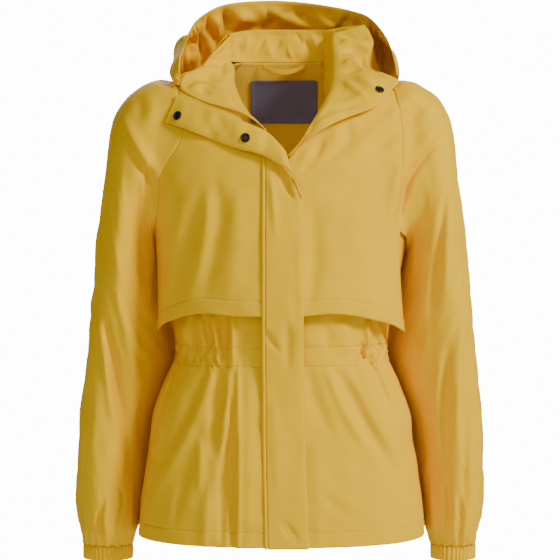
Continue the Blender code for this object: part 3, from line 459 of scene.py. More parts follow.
# Folds and unevenness
@dataclass(frozen=True)
class Creases:
    """Soft ridges and troughs along bent lines, seen from one side of the jacket."""

    table: Table
    view: View = View.FRONT
    samples: int = 13
    reach: float = 4
    middle_fade: tuple = (0.008, 0.05)
    sleeve_fade: tuple = (0.19, 0.24)

    def height(self, across: np.ndarray, up: np.ndarray) -> np.ndarray:
        """Height of all the creases.

        Args:
            across: place across the view of each point.
            up: place up the view of each point.

        Returns:
            Heights, above 0 on a ridge and below 0 in a trough.
        """
        total = np.zeros(across.shape)
        for row in self.table.rows():
            total += self.one(row, across, up)
        return total

    def one(self, row: dict, across: np.ndarray, up: np.ndarray) -> np.ndarray:
        """Height of one crease, tapered towards its two ends.

        Args:
            row: the crease's three places, width and height.
            across: place across the view of each point.
            up: place up the view of each point.

        Returns:
            Heights of this crease alone.
        """
        part = np.linspace(0, 1, self.samples)
        places = np.stack([
            smooth(np.array([0, 0.5, 1]), np.array([row[f"{axis}0"], row[f"{axis}1"], row[f"{axis}2"]]), part)
            for axis in "xz"], axis=-1)
        reach = self.reach * row["width"]
        near = ((across > places[:, 0].min() - reach) & (across < places[:, 0].max() + reach)
                & (up > places[:, 1].min() - reach) & (up < places[:, 1].max() + reach))
        total = np.zeros(across.shape)
        if not near.any():
            return total
        spot = np.stack([across[near], up[near]], axis=-1)
        best = np.full(len(spot), np.inf)
        along = np.zeros(len(spot))
        for index in range(len(part) - 1):
            run = places[index + 1] - places[index]
            away = spot - places[index]
            held = np.clip(away @ run / (run @ run), 0, 1)
            gap = away - held[:, None] * run
            distance = np.hypot(gap[:, 0], gap[:, 1])
            closer = distance < best
            best = np.where(closer, distance, best)
            along = np.where(closer, mix(part[index], part[index + 1], held), along)
        width = row["width"] * (0.75 + 0.5 * np.sin(math.pi * along))
        taper = np.sin(math.pi * np.clip(0.06 + 0.88 * along, 0, 1)) ** 0.8
        total[near] = row["height"] * taper * bell(best, width)
        return total

    def push(self, points: np.ndarray) -> np.ndarray:
        """Moves points by the creases, where they face the view.

        Args:
            points: the points' places.

        Returns:
            The moved points.
        """
        across, up, depth, sign = self.view.value[:4]
        if self.view is View.VIEWER:
            facing = 1.0
        elif self.view is View.OUTSIDE:
            facing = step(*self.sleeve_fade, np.abs(points[..., 0]))
            sign = np.sign(points[..., 0])
        else:
            facing = step(*self.middle_fade, points[..., 1] * sign)
        moved = points.copy()
        moved[..., depth] += sign * facing * self.height(points[..., across], points[..., up])
        return moved


@dataclass(frozen=True)
class Unevenness:
    """Gentle waves that keep a cloth from lying perfectly smooth, or sharp-edged ones that crumple it."""

    seed: int
    height: float = 0.55 * MM
    longest: float = 0.11
    shortest: float = 0.022
    waves: int = 26
    sharp: bool = False
    bend: float = 0.6
    bend_length: float = 0.17

    def at(self, across: np.ndarray, up: np.ndarray) -> np.ndarray:
        """Height of the waves at each place of the cloth.

        Args:
            across: distance across of each point.
            up: distance up or down of each point.

        Returns:
            Heights, above and below 0.
        """
        chance = np.random.default_rng(self.seed)
        total = np.zeros(across.shape)
        for _ in range(self.waves):
            length = self.shortest * (self.longest / self.shortest) ** chance.random()
            turn = chance.random() * math.pi
            shift = chance.random(2) * 2 * math.pi
            bend = self.bend * np.sin(2 * math.pi * up / self.bend_length + shift[0])
            phase = 2 * math.pi * (across * math.cos(turn) + up * math.sin(turn)) / length + bend
            wave = 1 - 2 * np.abs(np.sin((phase + shift[1]) / 2)) if self.sharp else np.sin(phase + shift[1])
            total += (length / self.longest) * wave
        return total * self.height / math.sqrt(self.waves / 6)


# Cloth pieces
@dataclass
class Cloth:
    """Grid of points on the outer side of a piece of cloth, rows down it and columns across it."""

    points: np.ndarray
    flip: bool = False
    closed: bool = False

    def normals(self) -> np.ndarray:
        """Outward direction at each point.

        Returns:
            Directions of length 1.
        """
        down = np.gradient(self.points, axis=0)
        if self.closed:
            right = (np.roll(self.points, -1, axis=1) - np.roll(self.points, 1, axis=1)) / 2
        else:
            right = np.gradient(self.points, axis=1)
        normal = np.cross(down, right) * (-1 if self.flip else 1)
        return normal / np.maximum(np.linalg.norm(normal, axis=-1, keepdims=True), 1e-9)

    def raised(self, height: np.ndarray) -> "Cloth":
        """The cloth with its points moved out by a height at each point."""
        return Cloth(self.points + self.normals() * np.asarray(height)[..., None], self.flip, self.closed)

    def pushed(self, creases: list) -> "Cloth":
        """The cloth after sets of creases have moved its points.

        Args:
            creases: the sets, in the order in which they push.

        Returns:
            The new cloth.
        """
        points = self.points
        for each in creases:
            points = each.push(points)
        return Cloth(points, self.flip, self.closed)

    def across(self) -> np.ndarray:
        """Distance across the cloth of each point, with one more column at the end of a tube.

        Returns:
            Distances from the first column.
        """
        points = np.concatenate([self.points, self.points[:, :1]], axis=1) if self.closed else self.points
        steps = np.linalg.norm(np.diff(points, axis=1), axis=-1)
        return np.concatenate([np.zeros((len(points), 1)), np.cumsum(steps, axis=1)], axis=1)

    def down(self) -> np.ndarray:
        """Distance down the cloth of each point.

        Returns:
            Distances from the first row, with one more column for a tube.
        """
        steps = np.linalg.norm(np.diff(self.points, axis=0), axis=-1)
        run = np.concatenate([np.zeros((1, steps.shape[1])), np.cumsum(steps, axis=0)])
        return np.concatenate([run, run[:, :1]], axis=1) if self.closed else run

    def cut(self) -> tuple:
        """Width, length and area of the flat piece.

        Returns:
            The longest width and length, and the area.
        """
        widths = self.across()[:, -1]
        lengths = self.down()[-1]
        area = float((widths[:-1] + widths[1:]).mean() / 2 * lengths.mean())
        width, length = float(widths.max()), float(lengths.max())
        return width, length, min(area, width * length)

    def mesh(self, name: str) -> bpy.types.Object:
        """Makes an object from the grid, with its flat coordinates in metres as its UV map.

        Args:
            name: name of the object and its mesh.

        Returns:
            The object, a sheet without thickness.
        """
        rows, columns = self.points.shape[:2]
        across, down = self.across(), self.down()
        faces, corners = [], []
        for row in range(rows - 1):
            for column in range(columns if self.closed else columns - 1):
                after = (column + 1) % columns
                face = [row * columns + column, (row + 1) * columns + column,
                        (row + 1) * columns + after, row * columns + after]
                spots = [(row, column), (row + 1, column), (row + 1, column + 1), (row, column + 1)]
                faces.append(face[::-1] if self.flip else face)
                corners.extend(spots[::-1] if self.flip else spots)
        mesh = bpy.data.meshes.new(name)
        mesh.from_pydata(self.points.reshape(-1, 3).tolist(), [], faces)
        corners = np.array(corners)
        flat = np.stack([across[corners[:, 0], corners[:, 1]], down[corners[:, 0], corners[:, 1]]], axis=-1)
        layer = mesh.uv_layers.new(name="cloth")
        layer.data.foreach_set("uv", flat.astype(np.float32).ravel())
        mesh.shade_smooth()
        return placed(name, mesh)

    def seat(self, along: float, across: float) -> tuple:
        """Place on the cloth for something that is fixed to it.

        Args:
            along: fraction down the rows.
            across: fraction across the columns.

        Returns:
            The place, and its outward direction towards the front.
        """
        row = round(along * (self.points.shape[0] - 1))
        column = round(across * (self.points.shape[1] - 1))
        normal = self.normals()[row - 1:row + 2, column - 1:column + 2].mean(axis=(0, 1))
        normal /= np.linalg.norm(normal)
        return self.points[row, column], normal if normal[1] < 0 else -normal

    def line(self, row: float | None = None, column: float | None = None, lift: float = 0.0) -> np.ndarray:
        """Points of a line along a row or a column.

        Args:
            row: fraction down the grid of a line along a row, or None.
            column: fraction across it of a line along a column, where row is None.
            lift: how far the line lies off the cloth.

        Returns:
            The line's points.
        """
        points = self.points + self.normals() * lift
        rows, columns = points.shape[:2]
        if row is not None:
            found = smooth(np.arange(rows), points, np.full(1, row * (rows - 1)))[0]
            return np.concatenate([found, found[:1]]) if self.closed else found
        return smooth(np.arange(columns), points.swapaxes(0, 1), np.full(1, column * (columns - 1)))[0]


def strip(table: Table, first: str, last: str, shape: tuple, bow: str = "", towards: tuple = FACING_BOW,
          flip: bool = False) -> Cloth:
    """Strip of cloth between two edges given at stations.

    Args:
        table: stations along the strip.
        first: name of the edge where the columns start.
        last: name of the edge where they end.
        shape: number of rows along the strip and of columns across it.
        bow: column that holds how far the strip bows out.
        towards: direction of the bow.
        flip: whether the strip's outer side is its other side.

    Returns:
        The strip.
    """
    start, end = table.points(first), table.points(last)
    middle = (start + end) / 2
    keys = run_along(middle)
    places = np.linspace(0, keys[-1], shape[0])
    start, end = smooth(keys, start, places), smooth(keys, end, places)
    part = np.linspace(0, 1, shape[1])[None, :, None]
    points = mix(start[:, None], end[:, None], part)
    if bow:
        height = smooth(keys, table[bow], places)[:, None, None]
        points = points + 4 * part * (1 - part) * height * np.array(towards)
    return Cloth(points, flip)


def on_body(shape: Table, angle: np.ndarray, z: np.ndarray) -> np.ndarray:
    """Points round a body section.

    Args:
        shape: half width and depth of the sections by height.
        angle: 0 at the centre front, plus to the right, pi at the back.
        z: height of each point.

    Returns:
        The points.
    """
    across, along = np.sin(angle), np.cos(angle)
    half_width, depth = shape.curve("z", "half_width", z), shape.curve("z", "depth", z)
    radius = (np.abs(across / half_width) ** POWER + np.abs(along / depth) ** POWER) ** (-1 / POWER)
    return np.stack([radius * across, -radius * along, z + 0 * radius], axis=-1)


def front_angle(shape: Table, x: np.ndarray, z: np.ndarray) -> np.ndarray:
    """Angle round the body of the front point at x.

    Args:
        shape: half width and depth of the sections by height.
        x: place of the point, plus to the right.
        z: its height.

    Returns:
        The angle, 0 at the centre front.
    """
    half_width, depth = shape.curve("z", "half_width", z), shape.curve("z", "depth", z)
    reach = np.clip(np.abs(x) / half_width, 0, 1)
    return np.arctan2(x, depth * (1 - reach**POWER) ** (1 / POWER))


def spaced(count: int, seams: tuple = (), reach: float = 0.008, extra: int = 11) -> np.ndarray:
    """Fractions from 0 to 1, with extra ones crowded round seams.

    Args:
        count: number of even fractions.
        seams: fractions at which a seam lies.
        reach: how far the extra fractions go to each side of a seam.
        extra: how many there are at each seam.

    Returns:
        The fractions in rising order.
    """
    even = np.linspace(0, 1, count)
    for seam in seams:
        even = even[np.abs(even - seam) > reach * 1.1]
        even = np.concatenate([even, np.linspace(seam - reach, seam + reach, extra)])
    return np.unique(np.clip(even, 0, 1))


def grid(rows: "int | np.ndarray", columns: "int | np.ndarray") -> tuple:
    """Two grids of fractions from 0 to 1.

    Args:
        rows: number of even rows, or their fractions.
        columns: number of even columns, or their fractions.

    Returns:
        Fractions down the rows, and fractions across the columns.
    """
    down = np.linspace(0, 1, rows) if isinstance(rows, int) else rows
    across = np.linspace(0, 1, columns) if isinstance(columns, int) else columns
    return np.meshgrid(down, across, indexing="ij")


# Shader maths
class Signal:
    """A shader socket that can be used in Python sums."""

    def __init__(self, shader: "Shader", socket: bpy.types.NodeSocket) -> None:
        """Wraps a socket of a shader."""
        self.shader = shader
        self.socket = socket

    def maths(self, operation: str, *others: "Signal | float") -> "Signal":
        """One Math node on this socket and others."""
        return self.shader.node("ShaderNodeMath", {"operation": operation}, {
            index: value for index, value in enumerate((self, *others))})

    def __add__(self, other: "Signal | float") -> "Signal":
        """Sum."""
        return self.maths("ADD", other)

    def __radd__(self, other: float) -> "Signal":
        """Sum with a number first."""
        return self.maths("ADD", other)

    def __sub__(self, other: "Signal | float") -> "Signal":
        """Difference."""
        return self.maths("SUBTRACT", other)

    def __rsub__(self, other: float) -> "Signal":
        """Difference from a number."""
        return self.shader.node("ShaderNodeMath", {"operation": "SUBTRACT"}, {0: other, 1: self})

    def __mul__(self, other: "Signal | float") -> "Signal":
        """Product."""
        return self.maths("MULTIPLY", other)

    def __rmul__(self, other: float) -> "Signal":
        """Product with a number first."""
        return self.maths("MULTIPLY", other)

    def wave(self, pitch: float) -> "Signal":
        """Sine of this length, from 0 to 1, once each pitch."""
        return (self * (2 * math.pi / pitch)).maths("SINE") * 0.5 + 0.5


class Shader:
    """Node tree of one material."""

    def __init__(self, name: str) -> None:
        """Starts an empty material.

        Args:
            name: the material's name.
        """
        self.material = bpy.data.materials.new(name)
        self.material.use_nodes = True
        self.tree = self.material.node_tree
        self.surface = self.tree.nodes["Principled BSDF"]

    def node(self, kind: str, settings: dict | None = None, inputs: dict | None = None,
             output: int | str = 0) -> Signal:
        """Adds one node.

        Args:
            kind: the node's type.
            settings: its properties, set before its sockets.
            inputs: values or Signals by socket name or index.
            output: name or index of the output to return.

        Returns:
            The output as a Signal.
        """
        made = self.tree.nodes.new(kind)
        for name, value in (settings or {}).items():
            if name == "ramp":
                self.set_ramp(made.color_ramp, value)
            else:
                setattr(made, name, value)
        for name, value in (inputs or {}).items():
            if isinstance(value, Signal):
                self.tree.links.new(value.socket, made.inputs[name])
            else:
                made.inputs[name].default_value = value
        return Signal(self, made.outputs[output])

    @staticmethod
    def set_ramp(ramp: bpy.types.ColorRamp, stops: list) -> None:
        """Sets a ramp's stops.

        Args:
            ramp: the ramp.
            stops: place and grey level of each stop.
        """
        while len(ramp.elements) < len(stops):
            ramp.elements.new(0.5)
        for element, (place, grey) in zip(ramp.elements, stops):
            element.position = place
            element.color = (grey, grey, grey, 1)

    def set(self, name: str, value: "Signal | float | tuple") -> None:
        """Sets or links one socket of the surface.

        Args:
            name: the socket's name.
            value: what it is set to, or a Signal that is linked to it.
        """
        if isinstance(value, Signal):
            self.tree.links.new(value.socket, self.surface.inputs[name])
        else:
            self.surface.inputs[name].default_value = value

    def flat_place(self) -> tuple:
        """The cloth's own coordinates in metres, across it and down it.

        Returns:
            The two coordinates as Signals.
        """
        place = self.node("ShaderNodeUVMap", {"uv_map": "cloth"})
        across = self.node("ShaderNodeSeparateXYZ", inputs={0: place})
        return across, Signal(self, across.socket.node.outputs[1])

    def object_place(self) -> Signal:
        """Object coordinates in metres."""
        return self.node("ShaderNodeTexCoord", output="Object")

    def noise(self, place: Signal, scale: float, detail: float) -> Signal:
        """Noise from 0 to 1."""
        return self.node("ShaderNodeTexNoise", {}, {
            "Vector": place, "Scale": scale, "Detail": detail, "Roughness": 0.5})

    def blend(self, share: Signal, first: tuple, second: tuple) -> Signal:
        """Blend of two colours."""
        return self.node("ShaderNodeMix", {"data_type": "RGBA"}, {
            0: share, 6: (*first, 1), 7: (*second, 1)}, 2)

    def bump(self, height: Signal, distance: float, strength: float = 1.0,
             over: Signal | None = None) -> Signal:
        """Normal tilted by a height.

        Args:
            height: height from 0 to 1.
            distance: what a height of 1 stands for, in metres.
            strength: share of the tilt that is used.
            over: normal that is tilted, or the surface's own.

        Returns:
            The tilted normal.
        """
        inputs = {"Height": height, "Distance": distance, "Strength": strength}
        if over is not None:
            inputs["Normal"] = over
        return self.node("ShaderNodeBump", {}, inputs)


@dataclass(frozen=True)
class CoatedCloth:
    """Yellow woven cloth with a matt coating."""

    name: str = "Coated yellow cloth"
    slot: str = "coated_cloth"
    light: tuple = (0.94, 0.565, 0.0)
    deep: tuple = (0.91, 0.515, 0.0)
    glint: tuple = (1.0, 0.7, 0.12, 1.0)
    yarn: float = 0.62 * MM
    slub_scale: float = 900.0
    crinkle_scale: float = 55.0
    mottle_scale: float = 14.0
    weave_height: float = 0.06 * MM
    crinkle_height: float = 0.5 * MM
    relief: float = 0.35
    roughness: float = 0.68
    gloss: float = 0.12

    def make(self) -> bpy.types.Material:
        """Material with its weave, fine crinkles and mottled colour.

        Returns:
            The material.
        """
        shader = Shader(self.name)
        across, down = shader.flat_place()
        place = shader.object_place()
        weave = across.wave(self.yarn) * down.wave(self.yarn)
        slub = shader.noise(place, self.slub_scale, 1.0)
        crinkle = shader.noise(place, self.crinkle_scale, 3.0)
        mottle = shader.noise(place, self.mottle_scale, 3.0)
        share = shader.node("ShaderNodeValToRGB", {"ramp": [(0.32, 0.0), (0.68, 1.0)]}, {
            0: mottle * 0.6 + crinkle * 0.25 + slub * 0.15})
        shader.set("Base Color", shader.blend(share, self.light, self.deep))
        shader.set("Roughness", self.roughness - 0.06 + crinkle * 0.12)
        soft = shader.bump(crinkle, self.crinkle_height, self.relief)
        shader.set("Normal", shader.bump(weave * 0.7 + slub * 0.3, self.weave_height, self.relief, soft))
        shader.set("Specular IOR Level", self.gloss)
        shader.set("Specular Tint", self.glint)
        return shader.material


@dataclass(frozen=True)
class MeshLining:
    """Open warp-knit mesh, its small staggered holes drawn as bump and as painted shade in a deeper yellow.
    """

    name: str = "Yellow mesh lining"
    slot: str = "mesh_lining"
    light: tuple = (0.95, 0.57, 0.0)
    # deep is painted shade: the darker cloth seen through the holes.
    deep: tuple = (0.8, 0.43, 0.0)
    pitch: float = 2.6 * MM
    hole_depth: float = 0.4 * MM
    roughness: float = 0.8

    def make(self) -> bpy.types.Material:
        """Material with rows of holes in painted shade and the ribs between them.

        Returns:
            The material.
        """
        shader = Shader(self.name)
        across, down = shader.flat_place()
        holes = (across + down).wave(self.pitch) * (across - down).wave(self.pitch)
        # Where the holes are, the colour turns to the deeper yellow: painted shade for the cloth seen through
        # them.
        share = shader.node("ShaderNodeValToRGB", {"ramp": [(0.35, 0.0), (0.7, 1.0)]}, {0: holes})
        shader.set("Base Color", shader.blend(share, self.light, self.deep))
        shader.set("Roughness", self.roughness)
        shader.set("Normal", shader.bump(1 - share, self.hole_depth, 0.6))
        shader.set("Sheen Weight", 0.2)
        return shader.material


@dataclass(frozen=True)
class LabelWeave:
    """Dark satin-woven label."""

    name: str = "Charcoal label weave"
    slot: str = "label_weave"
    light: tuple = (0.16, 0.15, 0.22)
    deep: tuple = (0.1, 0.094, 0.14)
    rib: float = 0.5 * MM
    rib_height: float = 0.12 * MM
    dust_scale: float = 60.0
    roughness: float = 0.62

    def make(self) -> bpy.types.Material:
        """Material with fine cross ribs.

        Returns:
            The material.
        """
        shader = Shader(self.name)
        across, down = shader.flat_place()
        ribs = down.wave(self.rib) * 0.7 + across.wave(self.rib * 0.6) * 0.3
        dust = shader.noise(shader.object_place(), self.dust_scale, 3.0)
        shader.set("Base Color", shader.blend(ribs * 0.6 + dust * 0.4, self.deep, self.light))
        shader.set("Roughness", self.roughness + dust * 0.15)
        shader.set("Normal", shader.bump(ribs, self.rib_height, 0.5))
        shader.set("Sheen Weight", 0.25)
        return shader.material


@dataclass(frozen=True)
class DarkEnamel:
    """Near-black enamelled metal of the snaps, a little worn."""

    name: str = "Dark enamelled metal"
    slot: str = "dark_metal"
    colour: tuple = (0.018, 0.013, 0.012)
    worn: tuple = (0.06, 0.045, 0.04)
    rub_scale: float = 420.0
    metallic: float = 0.6
    roughness: float = 0.3

    def make(self) -> bpy.types.Material:
        """Material with faint rubbed patches.

        Returns:
            The material.
        """
        shader = Shader(self.name)
        rub = shader.noise(shader.object_place(), self.rub_scale, 3.0)
        share = shader.node("ShaderNodeValToRGB", {"ramp": [(0.5, 0.0), (0.8, 1.0)]}, {0: rub})
        shader.set("Base Color", shader.blend(share, self.colour, self.worn))
        shader.set("Metallic", self.metallic)
        shader.set("Roughness", self.roughness + share * 0.15)
        shader.set("Normal", shader.bump(rub, 0.05 * MM, 0.3))
        return shader.material


@dataclass(frozen=True)
class Thread:
    """Yellow sewing thread, a shade deeper than the cloth."""

    name: str = "Yellow sewing thread"
    slot: str = "coated_cloth"
    light: tuple = (0.86, 0.46, 0.0)
    deep: tuple = (0.70, 0.34, 0.0)
    twist_scale: float = 2400.0
    roughness: float = 0.6

    def make(self) -> bpy.types.Material:
        """Material with the thread's twist.

        Returns:
            The material.
        """
        shader = Shader(self.name)
        twist = shader.noise(shader.object_place(), self.twist_scale, 1.0)
        shader.set("Base Color", shader.blend(twist, self.light, self.deep))
        shader.set("Roughness", self.roughness)
        shader.set("Sheen Weight", 0.2)
        return shader.material


Finish = CoatedCloth | MeshLining | LabelWeave | DarkEnamel | Thread


@dataclass
class Workshop:
    """Makes finished pieces, and keeps the materials and the seams still to be stitched."""

    finishes: dict = field(default_factory=dict)
    seams: dict = field(default_factory=dict)

    def material(self, finish: Finish) -> bpy.types.Material:
        """The material of a finish, made once.

        Args:
            finish: the finish.

        Returns:
            The material.
        """
        if finish.name not in self.finishes:
            self.finishes[finish.name] = finish.make()
        return self.finishes[finish.name]

    def piece(self, cloth: Cloth, name: str, node: str, finish: Finish, wall: float, held: Held) -> None:
        """Turns a cloth into a finished sheet that stands for a node.

        Args:
            cloth: the grid of points.
            name: the piece's name.
            node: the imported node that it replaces.
            finish: its finish.
            wall: its thickness.
            held: how it is held.
        """
        made = cloth.mesh(name)
        made.data.materials.append(self.material(finish))
        solidify = made.modifiers.new("Cloth wall", "SOLIDIFY")
        solidify.thickness = wall
        solidify.offset = -1.0
        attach(made, "root")
        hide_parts(node)
        finish.slot
        width, length, area = cloth.cut()
        if min(width, length) >= NARROWEST_SHEET:
            held.value
        LOG.info("%s: cut %.0f x %.0f mm, %.3f square metres", name, width / MM, length / MM, area)

    def seam(self, name: str, points: np.ndarray) -> None:
        """Keeps a line to be stitched, by the name of its stitches."""
        self.seams.setdefault(name, []).append(points)


@dataclass(frozen=True)
class Stitching:
    """Row of lock stitches along seam lines, made by Geometry Nodes."""

    pitch: float = 3.1 * MM
    length: float = 2.2 * MM
    thickness: float = 0.42 * MM
    roundness: int = 1

    def tree(self, thread: bpy.types.Material) -> bpy.types.NodeTree:
        """Geometry node tree that lays a stitch at each pitch along the edges of a mesh.

        Args:
            thread: material of the stitches.

        Returns:
            The tree.
        """
        tree = bpy.data.node_groups.new("Lock stitches", "GeometryNodeTree")
        tree.interface.new_socket("Geometry", in_out="INPUT", socket_type="NodeSocketGeometry")
        for name in ("Pitch", "Stitch length", "Thread thickness"):
            tree.interface.new_socket(name, in_out="INPUT", socket_type="NodeSocketFloat")
        tree.interface.new_socket("Geometry", in_out="OUTPUT", socket_type="NodeSocketGeometry")
        nodes = tree.nodes
        given = nodes.new("NodeGroupInput")
        curve = nodes.new("GeometryNodeMeshToCurve")
        spots = nodes.new("GeometryNodeCurveToPoints")
        spots.mode = "LENGTH"
        ball = nodes.new("GeometryNodeMeshIcoSphere")
        ball.inputs["Subdivisions"].default_value = self.roundness
        ball.inputs["Radius"].default_value = 0.5
        size = nodes.new("ShaderNodeCombineXYZ")
        place = nodes.new("GeometryNodeInstanceOnPoints")
        real = nodes.new("GeometryNodeRealizeInstances")
        finish = nodes.new("GeometryNodeSetMaterial")
        finish.inputs["Material"].default_value = thread
        shade = nodes.new("GeometryNodeSetShadeSmooth")
        out = nodes.new("NodeGroupOutput")
        for start, output, end, entry in (
                (given, "Geometry", curve, 0), (curve, 0, spots, "Curve"), (given, "Pitch", spots, "Length"),
                (given, "Thread thickness", size, 0), (given, "Thread thickness", size, 1),
                (given, "Stitch length", size, 2), (spots, "Points", place, "Points"),
                (spots, "Rotation", place, "Rotation"), (ball, "Mesh", place, "Instance"),
                (size, 0, place, "Scale"), (place, 0, real, 0), (real, 0, shade, 0),
                (shade, 0, finish, 0), (finish, 0, out, 0)):
            tree.links.new(start.outputs[output], end.inputs[entry])
        return tree

    def sew(self, seams: dict, thread: bpy.types.Material) -> None:
        """Makes one piece of stitches for each named group of seam lines.

        Args:
            seams: lists of lines by the name of their stitches.
            thread: material of the stitches.
        """
        tree = self.tree(thread)
        sizes = {"Pitch": self.pitch, "Stitch length": self.length, "Thread thickness": self.thickness}
        for name, lines in seams.items():
            vertices, edges = [], []
            for line in lines:
                start = len(vertices)
                vertices.extend(line.tolist())
                edges.extend((start + index, start + index + 1) for index in range(len(line) - 1))
            path = bpy.data.meshes.new(name + "_path")
            path.from_pydata(vertices, edges, [])
            carrier = placed(name + "_path", path)
            modifier = carrier.modifiers.new("Lock stitches", "NODES")
            modifier.node_group = tree
            for item in tree.interface.items_tree:
                if item.in_out == "INPUT" and item.name in sizes:
                    modifier[item.identifier] = sizes[item.name]
            graph = bpy.context.evaluated_depsgraph_get()
            mesh = bpy.data.meshes.new_from_object(carrier.evaluated_get(graph))
            bpy.data.objects.remove(carrier, do_unlink=True)
            mesh.name = name
            made = placed(name, mesh)
            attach(made, "root")
            LOG.info("%s: %d triangles of stitches", name, len(mesh.polygons))


# The jacket's parts
@dataclass
class Body:
    """Back, fronts with their storm flaps, and the mesh lining."""

    shop: Workshop
    wall: float = 1.0 * MM
    lining_wall: float = 0.6 * MM
    hem_z: float = -640.0 * MM
    armpit_z: float = -222.0 * MM
    flap_top_z: float = -209.0 * MM
    lower_top_z: float = -226.0 * MM
    hidden_rise: float = 14.0 * MM
    right_edge: float = -14.0 * MM
    left_reach: float = -1.0 * MM
    flap_reach: float = 177.0 * MM
    flap_curve: float = 0.75
    hem_fold: float = 20.0 * MM
    hem_thicker: float = 0.6 * MM
    hem_stitch_reach: float = 1.3 * MM
    crinkle_height: float = 0.95 * MM
    crinkle_reach: float = 15 * MM
    crinkle_end: float = 8 * MM
    crinkle_waves: int = 9
    crinkle_least_mm: float = 6
    crinkle_spread_mm: float = 9
    crinkle_slant: float = 1.4
    crinkle_turn: float = 6.28
    gather_pitch: float = 15 * MM
    gather_drift: float = 4 * MM
    gather_lean: float = 0.12
    gather_height: float = 1.6 * MM
    gather_reach_up: float = 26 * MM
    gather_reach_down: float = 40 * MM

    def hem_band(self, down: np.ndarray) -> np.ndarray:
        """Folded hem: thicker cloth below a pulled-in line of stitches.

        Args:
            down: distance down the cloth of each point.

        Returns:
            Height of the hem at each point.
        """
        left = down[-1:] - down
        band = self.hem_thicker * step(self.hem_fold + 1.5 * MM, self.hem_fold - 1.0 * MM, left)
        return band - GROOVE_DEPTH * bell(left - self.hem_fold - 0.5 * MM, self.hem_stitch_reach)

    def front_edge(self, side: Side, z: np.ndarray) -> np.ndarray:
        """Distance of a front's centre edge from the middle.

        Args:
            side: side of the jacket.
            z: heights.

        Returns:
            The distance at each height, plus on the front's own side.
        """
        if side is Side.RIGHT:
            return self.right_edge + 0 * z
        return self.left_reach - BAND.curve("z", "left", z)

    def upper(self, side: Side) -> Cloth:
        """Upper front, from its neck edge to the hem of its storm flap.

        Args:
            side: side of the jacket.

        Returns:
            The cloth.
        """
        sign = side.value
        neck = NECK_LEFT if side is Side.LEFT else NECK_RIGHT
        down, across = grid(spaced(150, (0.94,), 0.02, 15), 90)
        start = sign * self.front_edge(side, self.lower_top_z)
        top = neck.curve("x", "z", mix(start, neck["x"][-1], across))
        hem = FLAP_HEM.curve("x", "z", np.abs(mix(start, self.flap_reach, across)))
        z = mix(top, hem, down + self.flap_curve * across * (down**2 - down))
        name = f"{side.word}_deg"
        edge = np.where(z < self.flap_top_z, FLAP_SIDE.curve("z", name, z), ARMHOLE.curve("z", name, z))
        centre = front_angle(CHEST, self.front_edge(side, z), z)
        cloth = Cloth(on_body(CHEST, sign * mix(centre, edge, across), z), flip=side is Side.LEFT)
        cloth = cloth.pushed([Creases(UPPER_CREASES)])
        rough = Unevenness(11 + sign).at(cloth.points[..., 0], cloth.points[..., 2])
        inside = np.clip(6 * (1 - across), 0, 1)
        return cloth.raised(rough * inside + self.hem_band(cloth.down()))

    def crinkles(self, x: np.ndarray, z: np.ndarray, seed: int) -> np.ndarray:
        """Fine puckers that the waist elastic draws up inside its casing.

        Args:
            x: place across of each point.
            z: height of each point.
            seed: seed of the puckers' pitches and slants.

        Returns:
            Height of the puckers, with the casing's stitches pulled in.
        """
        chance = np.random.default_rng(seed)
        total = np.zeros(x.shape)
        near = bell(z - WAIST_Z, self.crinkle_reach)
        for _ in range(self.crinkle_waves):
            pitch = (self.crinkle_least_mm + self.crinkle_spread_mm * chance.random()) * MM
            slant = (chance.random() - 0.5) * self.crinkle_slant
            shift = self.crinkle_turn * chance.random()
            total += np.sin(2 * math.pi * (x + slant * (z - WAIST_Z)) / pitch + shift)
        end = self.crinkle_end
        reach = sum(step(row["left"] - end, row["left"] + end, x)
                    * step(row["right"] + end, row["right"] - end, x) for row in WAIST_CRINKLES.rows())
        return self.crinkle_height * total * near * reach - casing_grooves(z)

    def hem_line(self, cloth: Cloth) -> np.ndarray:
        """Line of the hem's stitches, level with its fold.

        Args:
            cloth: the cloth with the hem.

        Returns:
            The line's points.
        """
        run = cloth.down()
        found = []
        for column in range(cloth.points.shape[1]):
            at = run[-1, column:column + 1] - self.hem_fold
            found.append(smooth(run[:, column], cloth.points[:, column], at)[0])
        return np.array(found) + cloth.normals()[-8] * SEAM_LIFT

    @staticmethod
    def level_line(cloth: Cloth, z: float) -> np.ndarray:
        """Line on the cloth at one height.

        Args:
            cloth: the cloth.
            z: the height.

        Returns:
            The line's points.
        """
        found = []
        for column in range(cloth.points.shape[1]):
            path = cloth.points[:, column]
            row = int(np.argmax(path[:, 2] < z))
            part = (path[row - 1, 2] - z) / (path[row - 1, 2] - path[row, 2])
            found.append(mix(path[row - 1], path[row], part) + cloth.normals()[row, column] * SEAM_LIFT)
        return np.array(found)

    def lower(self, side: Side) -> Cloth:
        """Lower front, gathered at the waist and flared to the hem.

        Args:
            side: side of the jacket.

        Returns:
            The cloth.
        """
        sign = side.value
        seams = [(self.lower_top_z - WAIST_Z - rise) / (self.lower_top_z - self.hem_z) for rise in CASING]
        down, across = grid(spaced(160, (*seams, 0.952), 0.009), 130)
        hidden = self.hidden_rise * step(1.0, 0.84, across) * np.clip(1 - down / 0.1, 0, 1)
        z = mix(self.lower_top_z, self.hem_z, down) + hidden
        centre = front_angle(SKIRT, self.front_edge(side, z), z)
        cloth = Cloth(on_body(SKIRT, sign * mix(centre, math.pi / 2, across), z), flip=side is Side.LEFT)
        x, z = cloth.points[..., 0], cloth.points[..., 2]
        cloth = cloth.pushed([Creases(LOWER_CREASES)])
        rough = Unevenness(21 + sign, 0.7 * MM).at(x, z) * step(self.lower_top_z, -0.31, z)
        inside = np.clip(8 * (1 - across), 0, 1)
        return cloth.raised((rough + self.crinkles(x, z, 5 + sign)) * inside + self.hem_band(cloth.down()))

